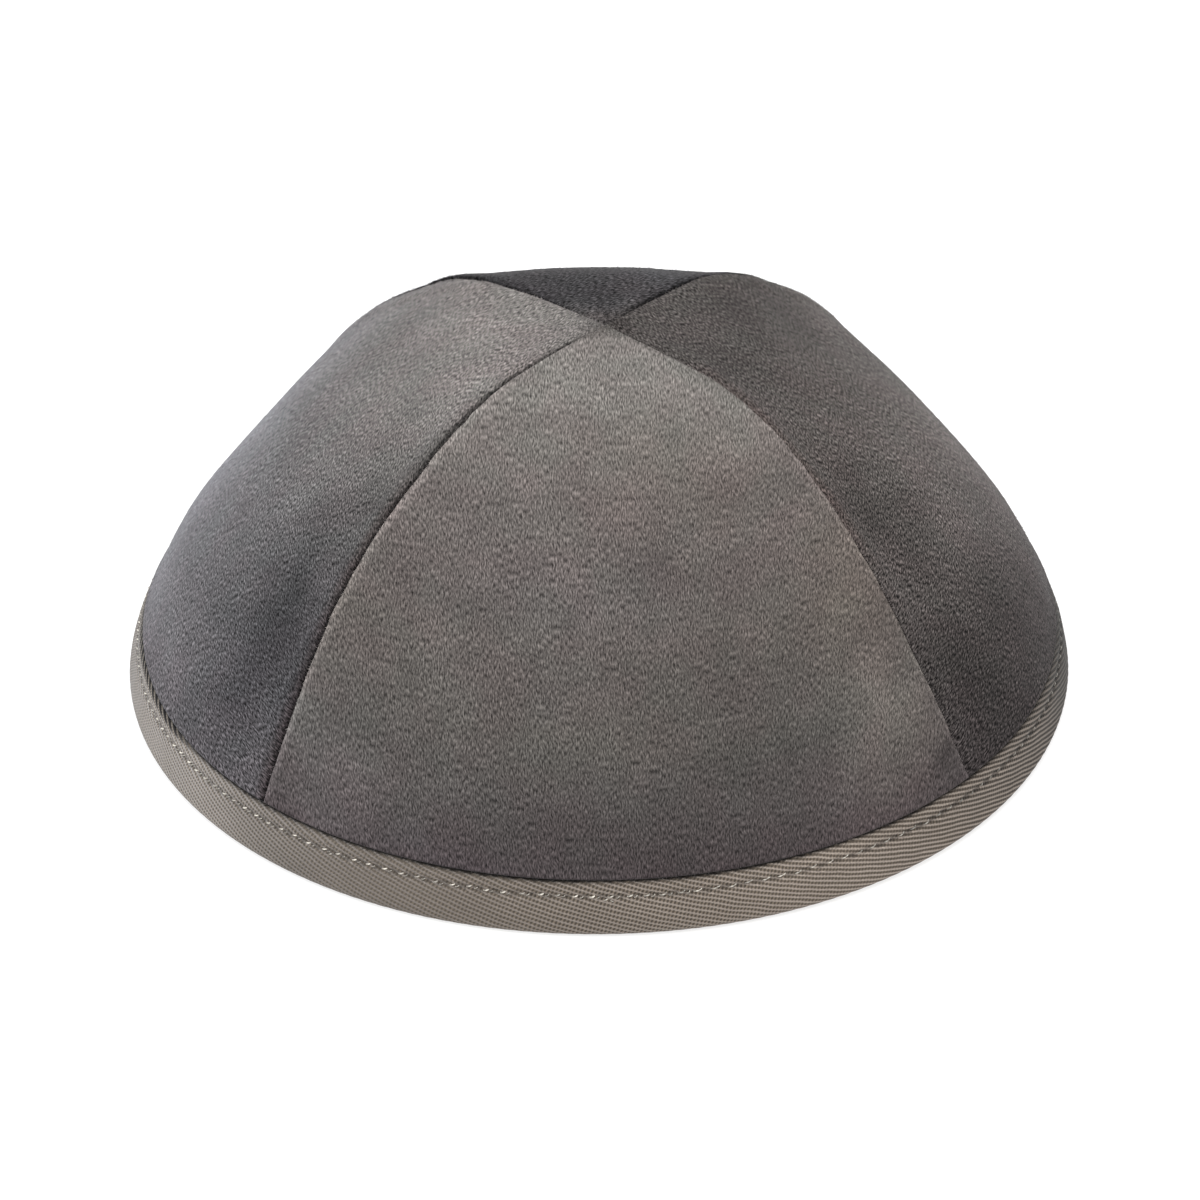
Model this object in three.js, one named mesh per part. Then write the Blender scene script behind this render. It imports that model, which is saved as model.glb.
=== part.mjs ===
// A kippah: a soft round cap sewn from four velvet panels, with a folded tape round its rim.
// Lengths are in millimetres and azimuths in degrees from +X, counted towards +Y. The front
// panel faces -Y, Z points up, and the fold of the tape rests on Z = 0.
import * as THREE from 'three';

const PANEL_WALL = 2.0; // velvet with its backing
const TAPE_WALL = 1.0; // one layer of the folded tape
const PIECE_GAP = 0.3; // air between neighbouring pieces

const RIM_RADIUS = 85.0; // outer face of the tape where it is widest
const FOLD_HEIGHT = 1.6; // height of that widest line
const TAPE_TOP = 9.5; // upper edge of both legs of the tape
const TAPE_LEAN = 0.147; // how much the tape draws in, for each millimetre up
const TAPE_BULGE = 0.0248; // how much that grows, for each millimetre up
const FOLD_FLOOR = 1.0; // inside of the fold, above the surface that the cap rests on
const HEM_HEIGHT = 1.3; // lower edge of the panels, inside the fold

// The crown from its middle down to the tape: the height of each section, its reach from the
// axis along a seam, and its reach along the middle of a panel.
const CROWN_SECTIONS = [
  { height: 68.83, seam: 0, panel: 0 },
  { height: 67.7, seam: 23.4, panel: 17.73 },
  { height: 64.34, seam: 35.98, panel: 27.92 },
  { height: 58.88, seam: 44.9, panel: 36.14 },
  { height: 51.54, seam: 55.26, panel: 46.88 },
  { height: 42.6, seam: 64.18, panel: 58.58 },
  { height: 32.39, seam: 70.76, panel: 67.92 },
  { height: 21.32, seam: 76.87, panel: 76.17 },
  { height: 9.8, seam: 82.4, panel: 82.4 },
];
const LAST_SECTION = CROWN_SECTIONS.length - 1;
const CROWN_END = 7.9; // where the panels start to roll in under the tape, in sections

// The roll of the velvet just above the tape, with its outer and inner reach.
const HEM_ROLL = [
  { height: 10.5, outer: 81.95, inner: 79.75 },
  { height: 10.05, outer: 81.55, inner: 79.45 },
  { height: 9.8, outer: 81.1, inner: 79.2 },
];
const HEM_STEPS = 3; // straight rows from the top of the tape down to the hem

// The seams, in order round the axis. At the rim each one has drifted past its azimuth.
const SEAMS = [
  { azimuth: 45, drift: 5.6 },
  { azimuth: 135, drift: 4.6 },
  { azimuth: 225, drift: 1.8 },
  { azimuth: 315, drift: 5.2 },
];

// The rim isn't a true circle: waves of two and of three round it, as shares of the radius.
const RIM_WAVES = [
  { count: 2, share: 0.0124, peak: 38 },
  { count: 3, share: 0.005, peak: -30 },
];

const PANELS = [
  { name: 'panel_front', azimuth: 270 },
  { name: 'panel_right', azimuth: 0 },
  { name: 'panel_back', azimuth: 90 },
  { name: 'panel_left', azimuth: 180 },
];
const QUARTER = 90; // one panel, in degrees
const PANEL_COLUMNS = 16;
const ROWS_PER_SECTION = 3;
const RIM_SEGMENTS = 4 * PANEL_COLUMNS;

const VELVET_COLOUR = 0x706a67;
const TAPE_COLOUR = 0x7b736a;

const cosine = (degrees) => Math.cos(THREE.MathUtils.degToRad(degrees));
const sine = (degrees) => Math.sin(THREE.MathUtils.degToRad(degrees));

// A smooth curve through one column of the crown table. The curve is level at the middle, so
// a reach runs on there with its sign turned and a height runs back up the far side.
function sectionValue(column, place) {
  const mirror = column === 'height' ? 1 : -1;
  const at = (row) => {
    if (row < 0) return mirror * CROWN_SECTIONS[-row][column];
    if (row <= LAST_SECTION) return CROWN_SECTIONS[row][column];
    return 2 * CROWN_SECTIONS[LAST_SECTION][column] - CROWN_SECTIONS[LAST_SECTION - 1][column];
  };
  const row = Math.min(Math.floor(place), LAST_SECTION - 1);
  const along = place - row;
  const [before, start, end, after] = [at(row - 1), at(row), at(row + 1), at(row + 2)];
  const slope = end - before;
  const bend = 2 * before - 5 * start + 4 * end - after;
  const twist = 3 * start - before - 3 * end + after;
  return start + 0.5 * along * (slope + along * (bend + along * twist));
}

// Reach and height of the outer or inner face of the crown, on one of its two profiles.
function profilePoint(column, place, depth) {
  const reach = sectionValue(column, place);
  const height = sectionValue('height', place);
  const step = 0.01;
  const away = sectionValue(column, place + step) - sectionValue(column, Math.max(0, place - step));
  const down = sectionValue('height', Math.max(0, place - step)) - sectionValue('height', place + step);
  const length = Math.hypot(away, down);
  return { reach: reach - (depth * down) / length, height: height - (depth * away) / length };
}

// Outer face of the tape at a height. The hem and both legs follow it at their own depths.
function tapeReach(height) {
  const rise = height - FOLD_HEIGHT;
  return RIM_RADIUS - rise * (TAPE_LEAN + TAPE_BULGE * rise);
}

// How far a seam-bound azimuth drifts round the cap, full at the rim.
function driftAt(azimuth) {
  const turned = (((azimuth - SEAMS[0].azimuth) % 360) + 360) % 360;
  const before = Math.floor(turned / QUARTER);
  const share = turned / QUARTER - before;
  const from = SEAMS[before % SEAMS.length].drift;
  const to = SEAMS[(before + 1) % SEAMS.length].drift;
  return from + (to - from) * share;
}

// Turns a reach at an azimuth into a point, with the rim's waves at their share.
function place(reach, azimuth, height, rimShare) {
  const drifted = azimuth + rimShare * driftAt(azimuth);
  let scale = 1;
  for (const wave of RIM_WAVES) {
    scale += rimShare * wave.share * cosine(wave.count * (drifted - wave.peak));
  }
  const waved = reach * scale;
  return new THREE.Vector3(waved * cosine(drifted), waved * sine(drifted), height);
}

// A row of a panel is a pair of functions: its outer and inner point at an angle from the
// panel's middle. Between two seams the crown is nearly flat across, and round at the rim.
function crownRow(sectionPlace) {
  const rimShare = sectionPlace / LAST_SECTION;
  const point = (depth) => {
    const seam = profilePoint('seam', sectionPlace, depth);
    const panel = profilePoint('panel', sectionPlace, depth);
    return (azimuth, angle) => {
      const toSeam = (1 / cosine(angle) - 1) / (1 / cosine(QUARTER / 2) - 1);
      const reach = panel.reach + (seam.reach - panel.reach) * toSeam;
      const height = panel.height + (seam.height - panel.height) * toSeam;
      return place(reach, azimuth + angle, height, rimShare);
    };
  };
  return { seamReach: sectionValue('seam', sectionPlace), outer: point(0), inner: point(PANEL_WALL) };
}

function hemRow(height, outer, inner) {
  const point = (reach) => (azimuth, angle) => place(reach, azimuth + angle, height, 1);
  return { seamReach: outer, outer: point(outer), inner: point(inner) };
}

function panelRows() {
  const rows = [];
  const count = LAST_SECTION * ROWS_PER_SECTION;
  for (let i = 1; i < count; i += 1) {
    rows.push(crownRow((i * CROWN_END) / (count - 1)));
  }
  for (const roll of HEM_ROLL) {
    rows.push(hemRow(roll.height, roll.outer, roll.inner));
  }
  const depth = TAPE_WALL + PIECE_GAP;
  for (let i = 0; i <= HEM_STEPS; i += 1) {
    const height = THREE.MathUtils.lerp(TAPE_TOP - PIECE_GAP, HEM_HEIGHT, i / HEM_STEPS);
    const outer = tapeReach(height) - depth;
    rows.push(hemRow(height, outer, outer - PANEL_WALL));
  }
  return rows;
}

// One panel as a closed shell: an outer and an inner sheet, closed along the seams and hem.
// Its tip and its side edges stand half a gap off the seams.
function panelGeometry(azimuth) {
  const rows = panelRows();
  const points = [];
  const tipReach = PIECE_GAP / Math.SQRT2;
  const top = CROWN_SECTIONS[0].height;
  points.push(place(tipReach, azimuth, top, 0), place(tipReach, azimuth, top - PANEL_WALL, 0));
  for (const row of rows) {
    const inset = THREE.MathUtils.radToDeg(Math.asin(PIECE_GAP / 2 / row.seamReach));
    const halfWidth = QUARTER / 2 - inset;
    for (const side of [row.outer, row.inner]) {
      for (let column = 0; column <= PANEL_COLUMNS; column += 1) {
        const angle = halfWidth * ((2 * column) / PANEL_COLUMNS - 1);
        points.push(side(azimuth, angle));
      }
    }
  }
  const across = PANEL_COLUMNS + 1;
  const outer = (row, column) => 2 + row * 2 * across + column;
  const inner = (row, column) => outer(row, column) + across;
  const faces = [];
  const quad = (a, b, c, d) => faces.push(a, b, c, a, c, d);
  for (let column = 0; column < PANEL_COLUMNS; column += 1) {
    faces.push(0, outer(0, column), outer(0, column + 1));
    faces.push(1, inner(0, column + 1), inner(0, column));
  }
  for (let row = 0; row < rows.length - 1; row += 1) {
    for (let column = 0; column < PANEL_COLUMNS; column += 1) {
      quad(outer(row, column), outer(row + 1, column), outer(row + 1, column + 1), outer(row, column + 1));
      quad(inner(row, column), inner(row, column + 1), inner(row + 1, column + 1), inner(row + 1, column));
    }
  }
  const last = rows.length - 1;
  for (let column = 0; column < PANEL_COLUMNS; column += 1) {
    quad(outer(last, column), inner(last, column), inner(last, column + 1), outer(last, column + 1));
  }
  quad(0, 1, inner(0, 0), outer(0, 0));
  quad(1, 0, outer(0, PANEL_COLUMNS), inner(0, PANEL_COLUMNS));
  for (let row = 0; row < last; row += 1) {
    quad(outer(row, 0), inner(row, 0), inner(row + 1, 0), outer(row + 1, 0));
    quad(inner(row, PANEL_COLUMNS), outer(row, PANEL_COLUMNS), outer(row + 1, PANEL_COLUMNS),
      inner(row + 1, PANEL_COLUMNS));
  }
  const geometry = new THREE.BufferGeometry().setFromPoints(points);
  geometry.setIndex(faces);
  geometry.computeVertexNormals();
  return geometry;
}

// The section of the folded tape, from the top of the outer leg down, under the hem, and up
// and down the inner leg. Each leg keeps its distance from the tape's outer face.
function tapeSection() {
  const innerLeg = TAPE_WALL + 2 * PIECE_GAP + PANEL_WALL;
  const innerFace = innerLeg + TAPE_WALL;
  const round = 0.35;
  const legHeights = [TAPE_TOP - round, 6.8, 4.2, FOLD_HEIGHT];
  const foldTurn = 0.9;
  const at = (height, depth) => new THREE.Vector2(tapeReach(height) - depth, height);
  const widest = RIM_RADIUS;
  const narrowest = RIM_RADIUS - innerFace;
  const section = [at(TAPE_TOP, round)];
  for (const height of legHeights) section.push(at(height, 0));
  section.push(new THREE.Vector2(widest - 0.3, 0.7));
  section.push(new THREE.Vector2(widest - foldTurn, 0.15));
  section.push(new THREE.Vector2(widest - 1.5 * foldTurn, 0));
  section.push(new THREE.Vector2(narrowest + 1.5 * foldTurn, 0));
  section.push(new THREE.Vector2(narrowest + foldTurn, 0.15));
  section.push(new THREE.Vector2(narrowest + 0.3, 0.7));
  for (const height of [...legHeights].reverse()) section.push(at(height, innerFace));
  section.push(at(TAPE_TOP, innerFace - round), at(TAPE_TOP, innerLeg));
  section.push(at(5.4, innerLeg), at(FOLD_FLOOR, innerLeg));
  section.push(at(FOLD_FLOOR, TAPE_WALL), at(5.4, TAPE_WALL), at(TAPE_TOP, TAPE_WALL));
  section.push(section[0].clone());
  return section;
}

// The lathe turns round its own Y axis, so its points are laid down again with the rim's waves.
function bindingGeometry() {
  const geometry = new THREE.LatheGeometry(tapeSection().reverse(), RIM_SEGMENTS);
  const spots = geometry.getAttribute('position');
  for (let i = 0; i < spots.count; i += 1) {
    const reach = Math.hypot(spots.getX(i), spots.getZ(i));
    const azimuth = THREE.MathUtils.radToDeg(Math.atan2(spots.getX(i), spots.getZ(i)));
    const laid = place(reach, azimuth, spots.getY(i), 1);
    spots.setXYZ(i, laid.x, laid.y, laid.z);
  }
  geometry.computeVertexNormals();
  return geometry;
}

const group = new THREE.Group();
for (const panel of PANELS) {
  const velvet = new THREE.MeshStandardMaterial({ color: VELVET_COLOUR, roughness: 0.95, metalness: 0 });
  const mesh = new THREE.Mesh(panelGeometry(panel.azimuth), velvet);
  mesh.name = panel.name;
  group.add(mesh);
}
const twill = new THREE.MeshStandardMaterial({ color: TAPE_COLOUR, roughness: 0.85, metalness: 0 });
const binding = new THREE.Mesh(bindingGeometry(), twill);
binding.name = 'rim_binding';
group.add(binding);

// The origin is the middle of the footprint.
const footprint = new THREE.Box3().setFromObject(group).getCenter(new THREE.Vector3());
for (const mesh of group.children) {
  mesh.position.set(-footprint.x, -footprint.y, 0);
}

export default group;
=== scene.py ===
"""A kippah: four velvet panels sewn into a soft round cap, with a folded twill tape round its rim.

Sizes are in millimetres until a mesh is written, azimuths are in degrees from +X towards +Y,
and the front panel faces -Y. The cap rests on the floor on the fold of its tape.
"""

import logging
import math
from collections.abc import Mapping, Sequence
from dataclasses import dataclass, field
from enum import Enum
from typing import NamedTuple

import bpy
import numpy as np
from mathutils import Matrix, Vector


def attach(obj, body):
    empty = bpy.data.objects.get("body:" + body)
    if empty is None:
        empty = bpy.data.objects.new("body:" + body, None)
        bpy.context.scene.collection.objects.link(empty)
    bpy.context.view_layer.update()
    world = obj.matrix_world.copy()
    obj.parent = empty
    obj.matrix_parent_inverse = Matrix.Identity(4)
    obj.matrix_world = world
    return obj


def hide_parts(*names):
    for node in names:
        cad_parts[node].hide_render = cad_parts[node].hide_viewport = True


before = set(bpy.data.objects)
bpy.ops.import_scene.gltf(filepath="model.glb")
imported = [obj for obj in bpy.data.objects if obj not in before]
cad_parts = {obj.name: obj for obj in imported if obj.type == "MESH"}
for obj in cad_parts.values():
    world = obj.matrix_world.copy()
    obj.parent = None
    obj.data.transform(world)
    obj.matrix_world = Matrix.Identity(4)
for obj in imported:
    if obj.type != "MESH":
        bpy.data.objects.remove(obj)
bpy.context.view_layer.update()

log = logging.getLogger("kippah")

MM = 0.001  # metres
QUARTER = 90.0  # degrees that one panel takes up
PHOTO_SIDE = 1200  # pixels along each side of the photograph
LEAN_STEP = 30.0  # degrees from one drawn lean of the nap to the next

Colour = tuple[float, float, float]

WHITE: Colour = (1.0, 1.0, 1.0)


def ease(low: float, high: float, value: np.ndarray) -> np.ndarray:
    """Rises smoothly from 0 at low to 1 at high, which may be the smaller of the two."""
    share = np.clip((value - low) / (high - low), 0.0, 1.0)
    return share * share * (3.0 - 2.0 * share)


def hump(middle: float, width: float, value: np.ndarray) -> np.ndarray:
    """A rounded hump of height 1 at a middle, which fades to a third at a width on each side."""
    return np.exp(-(((value - middle) / width) ** 2))


class Unevenness:
    """Soft, repeatable unevenness over a sheet of cloth."""

    def __init__(self, seed: int) -> None:
        """Draws the lattice from a fixed seed."""
        self.lattice = np.random.default_rng(seed).uniform(-1.0, 1.0, (256, 256))

    def at(self, across: np.ndarray, along: np.ndarray) -> np.ndarray:
        """Reads the unevenness at places on the sheet.

        Args:
            across: places across the sheet, in lattice steps.
            along: places along the sheet, in lattice steps.

        Returns:
            Heights between -1 and 1.
        """
        column = np.floor(across).astype(int)
        row = np.floor(along).astype(int)
        u = across - column
        v = along - row
        u = u * u * (3.0 - 2.0 * u)
        v = v * v * (3.0 - 2.0 * v)
        size = self.lattice.shape[0]
        left, right = column % size, (column + 1) % size
        near, far = row % size, (row + 1) % size
        start = self.lattice[left, near] * (1.0 - u) + self.lattice[right, near] * u
        end = self.lattice[left, far] * (1.0 - u) + self.lattice[right, far] * u
        return start * (1.0 - v) + end * v


class CrownSection(NamedTuple):
    """One section of the crown: its height, and its reach along a seam and a panel's middle."""

    height: float
    seam: float
    panel: float


class SeamLine(NamedTuple):
    """One seam: its azimuth at the crown, how far it has drifted round at the rim, and how far
    the sewing strays from that line at each section, in mm."""

    azimuth: float
    drift: float
    strays: tuple[float, ...]


class RimWave(NamedTuple):
    """One wave of the rim's outline: how many round, their share of the radius, and a peak."""

    count: int
    share: float
    peak: float


class CrushSheenShadeMark(NamedTuple):
    """A patch of crushed pile with painted sheen and shade: place and size in mm, shade, coolness.
    """

    across: float
    along: float
    wide: float
    long: float
    shade: float
    cool: float = 0.0


class NapLie(NamedTuple):
    """How the nap leans: degrees at a panel's middle line, and more for each mm across it."""

    lean: float
    fan: float


class WarmBand(NamedTuple):
    """A reddish stretch beside a seam: its share, its middle down the seam, reach and width."""

    share: float = 0.0
    along: float = 0.0
    reach: float = 1.0
    width: float = 1.0


class EdgeLook(NamedTuple):
    """The pile beside a seam: how pale near the crown and the rim, a painted highlight on its
    rolled edge that turns to painted shade below 0, its width in mm, how dark it is on the sewn
    line, which is painted shade in the seam's groove, the roll of its edge in mm, and its reddish
    stretch."""

    crown: float
    rim: float
    width: float
    sewn: float
    roll: float
    warm: WarmBand = WarmBand()


class TapePaintedLightMark(NamedTuple):
    """A stretch of tape with painted light, shade and cool light, and another weave: middle and
    length in mm, shade, coolness, weave.
    """

    along: float
    long: float
    shade: float
    cool: float = 0.0
    weave: float = 0.0


class PanelSide(Enum):
    """The four panels, by the azimuth that each one faces."""

    FRONT = 270.0
    RIGHT = 0.0
    BACK = 90.0
    LEFT = 180.0

    @property
    def node(self) -> str:
        """The name of the panel's solid."""
        return f"panel_{self.name.lower()}"


@dataclass(frozen=True)
class CapForm:
    """The cap's form, as its solids have it."""

    sections: tuple[CrownSection, ...] = (
        CrownSection(68.83, 0.0, 0.0),
        CrownSection(67.7, 23.4, 17.73),
        CrownSection(64.34, 35.98, 27.92),
        CrownSection(58.88, 44.9, 36.14),
        CrownSection(51.54, 55.26, 46.88),
        CrownSection(42.6, 64.18, 58.58),
        CrownSection(32.39, 70.76, 67.92),
        CrownSection(21.32, 76.87, 76.17),
        CrownSection(9.8, 82.4, 82.4),
    )
    seams: tuple[SeamLine, ...] = (
        SeamLine(45.0, 5.6, (0.0, 1.5, 0.2, 0.0, 0.0, 0.0, 0.0, 0.0, 0.0)),
        SeamLine(135.0, 4.6, (0.0, 1.3, 0.8, 0.2, 0.0, 0.0, 0.0, 0.0, 0.0)),
        SeamLine(225.0, 1.8, (0.0, 0.4, 0.95, 0.75, 0.6, 0.2, -0.15, -0.45, -0.5)),
        SeamLine(315.0, 5.2, (0.0, 1.3, 1.0, 1.2, 0.0, -0.6, -0.45, 0.0, 0.55)),
    )
    waves: tuple[RimWave, ...] = (RimWave(2, 0.0124, 38.0), RimWave(3, 0.005, -30.0))
    crown_end: float = 7.9
    panel_wall: float = 2.0
    tape_wall: float = 1.0
    gap: float = 0.3
    rim_radius: float = 85.0
    fold_height: float = 1.6
    tape_top: float = 9.5
    tape_lean: float = 0.147
    tape_bulge: float = 0.0248
    hem_height: float = 1.3
    rim_segments: int = 64

    @property
    def last(self) -> int:
        """The number of the lowest section."""
        return len(self.sections) - 1

    def section(self, column: str, place: np.ndarray) -> np.ndarray:
        """Reads a smooth curve through one column of the crown's sections.

        Args:
            column: height, seam or panel.
            place: places down the crown, in sections.

        Returns:
            The column's value at each place.
        """
        rows = np.array([getattr(section, column) for section in self.sections])
        mirror = 1.0 if column == "height" else -1.0
        rows = np.concatenate([[mirror * rows[1]], rows, [2.0 * rows[-1] - rows[-2]]])
        row = np.clip(np.floor(place).astype(int), 0, self.last - 1)
        along = place - row
        before, start, end, after = rows[row], rows[row + 1], rows[row + 2], rows[row + 3]
        bend = 2.0 * before - 5.0 * start + 4.0 * end - after
        twist = 3.0 * start - before - 3.0 * end + after
        return start + 0.5 * along * ((end - before) + along * (bend + along * twist))

    def facing(self, column: str, place: np.ndarray) -> tuple[np.ndarray, np.ndarray]:
        """Finds which way a profile of the crown faces.

        Args:
            column: seam or panel.
            place: places down the crown, in sections.

        Returns:
            The outward and the upward part of the profile's normal.
        """
        step = 0.01
        low = np.maximum(place - step, 0.0)
        away = self.section(column, place + step) - self.section(column, low)
        down = self.section("height", low) - self.section("height", place + step)
        length = np.hypot(away, down)
        return down / length, away / length

    def tape_reach(self, height: np.ndarray) -> np.ndarray:
        """The outer face of the tape at each height."""
        rise = height - self.fold_height
        return self.rim_radius - rise * (self.tape_lean + self.tape_bulge * rise)

    def drift(self, azimuth: np.ndarray) -> np.ndarray:
        """Finds how far round each azimuth has drifted at the rim, between the seams beside it.

        Args:
            azimuth: azimuths before the drift.

        Returns:
            Degrees of drift.
        """
        turned = np.mod(azimuth - self.seams[0].azimuth, 360.0) / QUARTER
        drifts = np.array([seam.drift for seam in self.seams])
        before = np.floor(turned).astype(int) % len(drifts)
        share = turned - np.floor(turned)
        return drifts[before] * (1.0 - share) + drifts[(before + 1) % len(drifts)] * share

    def azimuth(self, azimuth: np.ndarray, share: np.ndarray) -> np.ndarray:
        """The azimuth where a place of the cloth lies, at its share of the rim's drift."""
        return azimuth + share * self.drift(azimuth)

    def waviness(self, lies: np.ndarray, share: np.ndarray | float) -> np.ndarray:
        """Finds how far the rim's waves push the cloth out or in.

        Args:
            lies: azimuths after the drift.
            share: how much of the rim's waves there is at each.

        Returns:
            The factor for each reach.
        """
        scale = np.ones_like(lies)
        for wave in self.waves:
            swing = np.cos(np.radians(wave.count * (lies - wave.peak)))
            scale = scale + share * wave.share * swing
        return scale

    def lay(
        self, reach: np.ndarray, azimuth: np.ndarray, height: np.ndarray, share: np.ndarray
    ) -> np.ndarray:
        """Turns reaches at azimuths into points, with the rim's waves at their share.

        Args:
            reach: distances from the axis.
            azimuth: azimuths before the seams' drift.
            height: heights above the floor.
            share: 0 at the crown's middle and 1 at the rim.

        Returns:
            The points, along a last axis of three.
        """
        reach, azimuth, height, share = np.broadcast_arrays(reach, azimuth, height, share)
        lies = self.azimuth(azimuth, share)
        scale = self.waviness(lies, share)
        radians = np.radians(lies)
        points = (reach * scale * np.cos(radians), reach * scale * np.sin(radians), height)
        return np.stack(points, axis=-1) - self.footprint_middle()

    @property
    def tape_girth(self) -> float:
        """The length of the tape round the rim."""
        return 2.0 * math.pi * (self.rim_radius - self.tape_wall)

    def footprint_middle(self) -> np.ndarray:
        """Finds the middle of the rim's outline before it is laid on the origin.

        Returns:
            The middle, as a point on the floor.
        """
        count = self.rim_segments
        lies = self.azimuth(np.arange(count) * 360.0 / count, np.ones(count))
        scale = self.waviness(lies, 1.0)
        x = self.rim_radius * scale * np.cos(np.radians(lies))
        y = self.rim_radius * scale * np.sin(np.radians(lies))
        return np.array([(x.max() + x.min()) / 2.0, (y.max() + y.min()) / 2.0, 0.0])


class Wire:
    """A value on its way between nodes, with the operators that shader maths uses."""

    def __init__(self, shop: "Dressing", socket: bpy.types.NodeSocket) -> None:
        """Holds an output socket and the material that it belongs to."""
        self.shop = shop
        self.socket = socket

    def __add__(self, other: "Wire | float") -> "Wire":
        """This plus other."""
        return self.shop.maths("ADD", self, other)

    __radd__ = __add__

    def __sub__(self, other: "Wire | float") -> "Wire":
        """This less other."""
        return self.shop.maths("SUBTRACT", self, other)

    def __rsub__(self, other: "Wire | float") -> "Wire":
        """Other less this."""
        return self.shop.maths("SUBTRACT", other, self)

    def __mul__(self, other: "Wire | float") -> "Wire":
        """This times other."""
        return self.shop.maths("MULTIPLY", self, other)

    __rmul__ = __mul__

    def __truediv__(self, other: "Wire | float") -> "Wire":
        """This over other."""
        return self.shop.maths("DIVIDE", self, other)

    def __rtruediv__(self, other: "Wire | float") -> "Wire":
        """Other over this."""
        return self.shop.maths("DIVIDE", other, self)

    def __pow__(self, other: "Wire | float") -> "Wire":
        """This to the power other."""
        return self.shop.maths("POWER", self, other)

    def __abs__(self) -> "Wire":
        """This without its sign."""
        return self.shop.maths("ABSOLUTE", self)

    def floor(self) -> "Wire":
        """The whole number below this."""
        return self.shop.maths("FLOOR", self)

    def sine(self) -> "Wire":
        """The sine of this, in radians."""
        return self.shop.maths("SINE", self)

    def rise(self, low: float, high: float, start: float = 0.0, end: float = 1.0) -> "Wire":
        """Rises smoothly from start to end while this goes from low to high.

        Args:
            low: where the rise starts.
            high: where the rise ends.
            start: the value before the rise.
            end: the value after it.

        Returns:
            The risen value.
        """
        settings = {"interpolation_type": "SMOOTHSTEP"}
        sockets = {"Value": self, "From Min": low, "From Max": high}
        sockets |= {"To Min": start, "To Max": end}
        return self.shop.node("ShaderNodeMapRange", settings, sockets)


class Dressing:
    """A material under way: its nodes, and the shader that they end in."""

    def __init__(self, name: str) -> None:
        """Starts a material, with its shader in place.

        Args:
            name: the material's name.
        """
        self.material = bpy.data.materials.new(name)
        self.material.use_nodes = True
        self.tree = self.material.node_tree
        self.shader = self.tree.nodes["Principled BSDF"]

    def node(
        self,
        kind: str,
        settings: Mapping[str, object] | None = None,
        sockets: Mapping[str | int, object] | None = None,
        output: str | int = 0,
    ) -> Wire:
        """Adds a node, sets it up, and feeds its sockets.

        Args:
            kind: the node's type.
            settings: its properties, set first; stops stands for a ramp's places and colours.
            sockets: values or wires for its input sockets.
            output: the output socket to hand on.

        Returns:
            The chosen output.
        """
        made = self.tree.nodes.new(kind)
        for name, value in (settings or {}).items():
            if name == "stops":
                elements = made.color_ramp.elements
                while len(elements) < len(value):
                    elements.new(1.0)
                for element, (place, colour) in zip(elements, value):
                    element.position = place
                    element.color = (*colour, 1.0)
            else:
                setattr(made, name, value)
        for name, value in (sockets or {}).items():
            self.feed(made.inputs[name], value)
        return Wire(self, made.outputs[output])

    def feed(self, socket: bpy.types.NodeSocket, value: object) -> None:
        """Links a wire to a socket, or sets the socket to a value.

        Args:
            socket: the input socket.
            value: a wire, a number or a colour.
        """
        if isinstance(value, Wire):
            self.tree.links.new(value.socket, socket)
        elif isinstance(value, tuple) and socket.type == "RGBA":
            socket.default_value = (*value, 1.0)
        else:
            socket.default_value = value

    def maths(self, operation: str, *values: "Wire | float") -> Wire:
        """Adds one Math node."""
        return self.node("ShaderNodeMath", {"operation": operation}, dict(enumerate(values)))

    def attribute(self, name: str) -> tuple[Wire, Wire, Wire]:
        """Reads the three numbers that a mesh holds for each point.

        Args:
            name: the name that it holds them under.

        Returns:
            The three numbers.
        """
        held = self.node("ShaderNodeAttribute", {"attribute_name": name}, output="Vector")
        parts = self.node("ShaderNodeSeparateXYZ", sockets={0: held})
        others = [Wire(self, parts.socket.node.outputs[number]) for number in (1, 2)]
        return parts, others[0], others[1]

    def grain(
        self,
        x: "Wire | float",
        y: "Wire | float",
        z: "Wire | float",
        detail: float,
        rough: float = 0.5,
    ) -> Wire:
        """Reads noise at a place, from about 0.25 to 0.75.

        Args:
            x: the place's first part, in steps of the noise.
            y: its second part.
            z: its third part.
            detail: how many finer layers are added.
            rough: how strong those layers are.

        Returns:
            The noise.
        """
        place = self.node("ShaderNodeCombineXYZ", sockets={0: x, 1: y, 2: z})
        sockets = {"Vector": place, "Scale": 1.0, "Detail": detail, "Roughness": rough}
        return self.node("ShaderNodeTexNoise", sockets=sockets)

    def tint(self, colour: "Wire | Colour", by: "Wire | Colour") -> Wire:
        """Multiplies a colour by another."""
        return self.node("ShaderNodeVectorMath", {"operation": "MULTIPLY"}, {0: colour, 1: by})

    def blend(self, share: Wire, first: "Wire | Colour", second: "Wire | Colour") -> Wire:
        """Mixes two colours: the first at share 0 and the second at share 1."""
        sockets = {0: share, 6: first, 7: second}
        return self.node("ShaderNodeMix", {"data_type": "RGBA"}, sockets, output=2)

    def brighten(self, colour: "Wire | Colour", by: Wire) -> Wire:
        """Multiplies a colour by a number."""
        return self.node("ShaderNodeVectorMath", {"operation": "SCALE"}, {0: colour, "Scale": by})

    def bump(self, height: Wire, depth: float, strength: float) -> Wire:
        """Turns a height from 0 to 1 into a normal, with its depth in millimetres."""
        sockets = {"Height": height, "Distance": depth * MM, "Strength": strength}
        return self.node("ShaderNodeBump", sockets=sockets)

    def finish(self, **values: object) -> bpy.types.Material:
        """Feeds the shader's sockets.

        Args:
            values: values or wires by socket, with underscores for the spaces in its name.

        Returns:
            The finished material.
        """
        for name, value in values.items():
            label = name.replace("_", " ").title().replace("Ior", "IOR")
            self.feed(self.shader.inputs[label], value)
        return self.material


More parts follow.
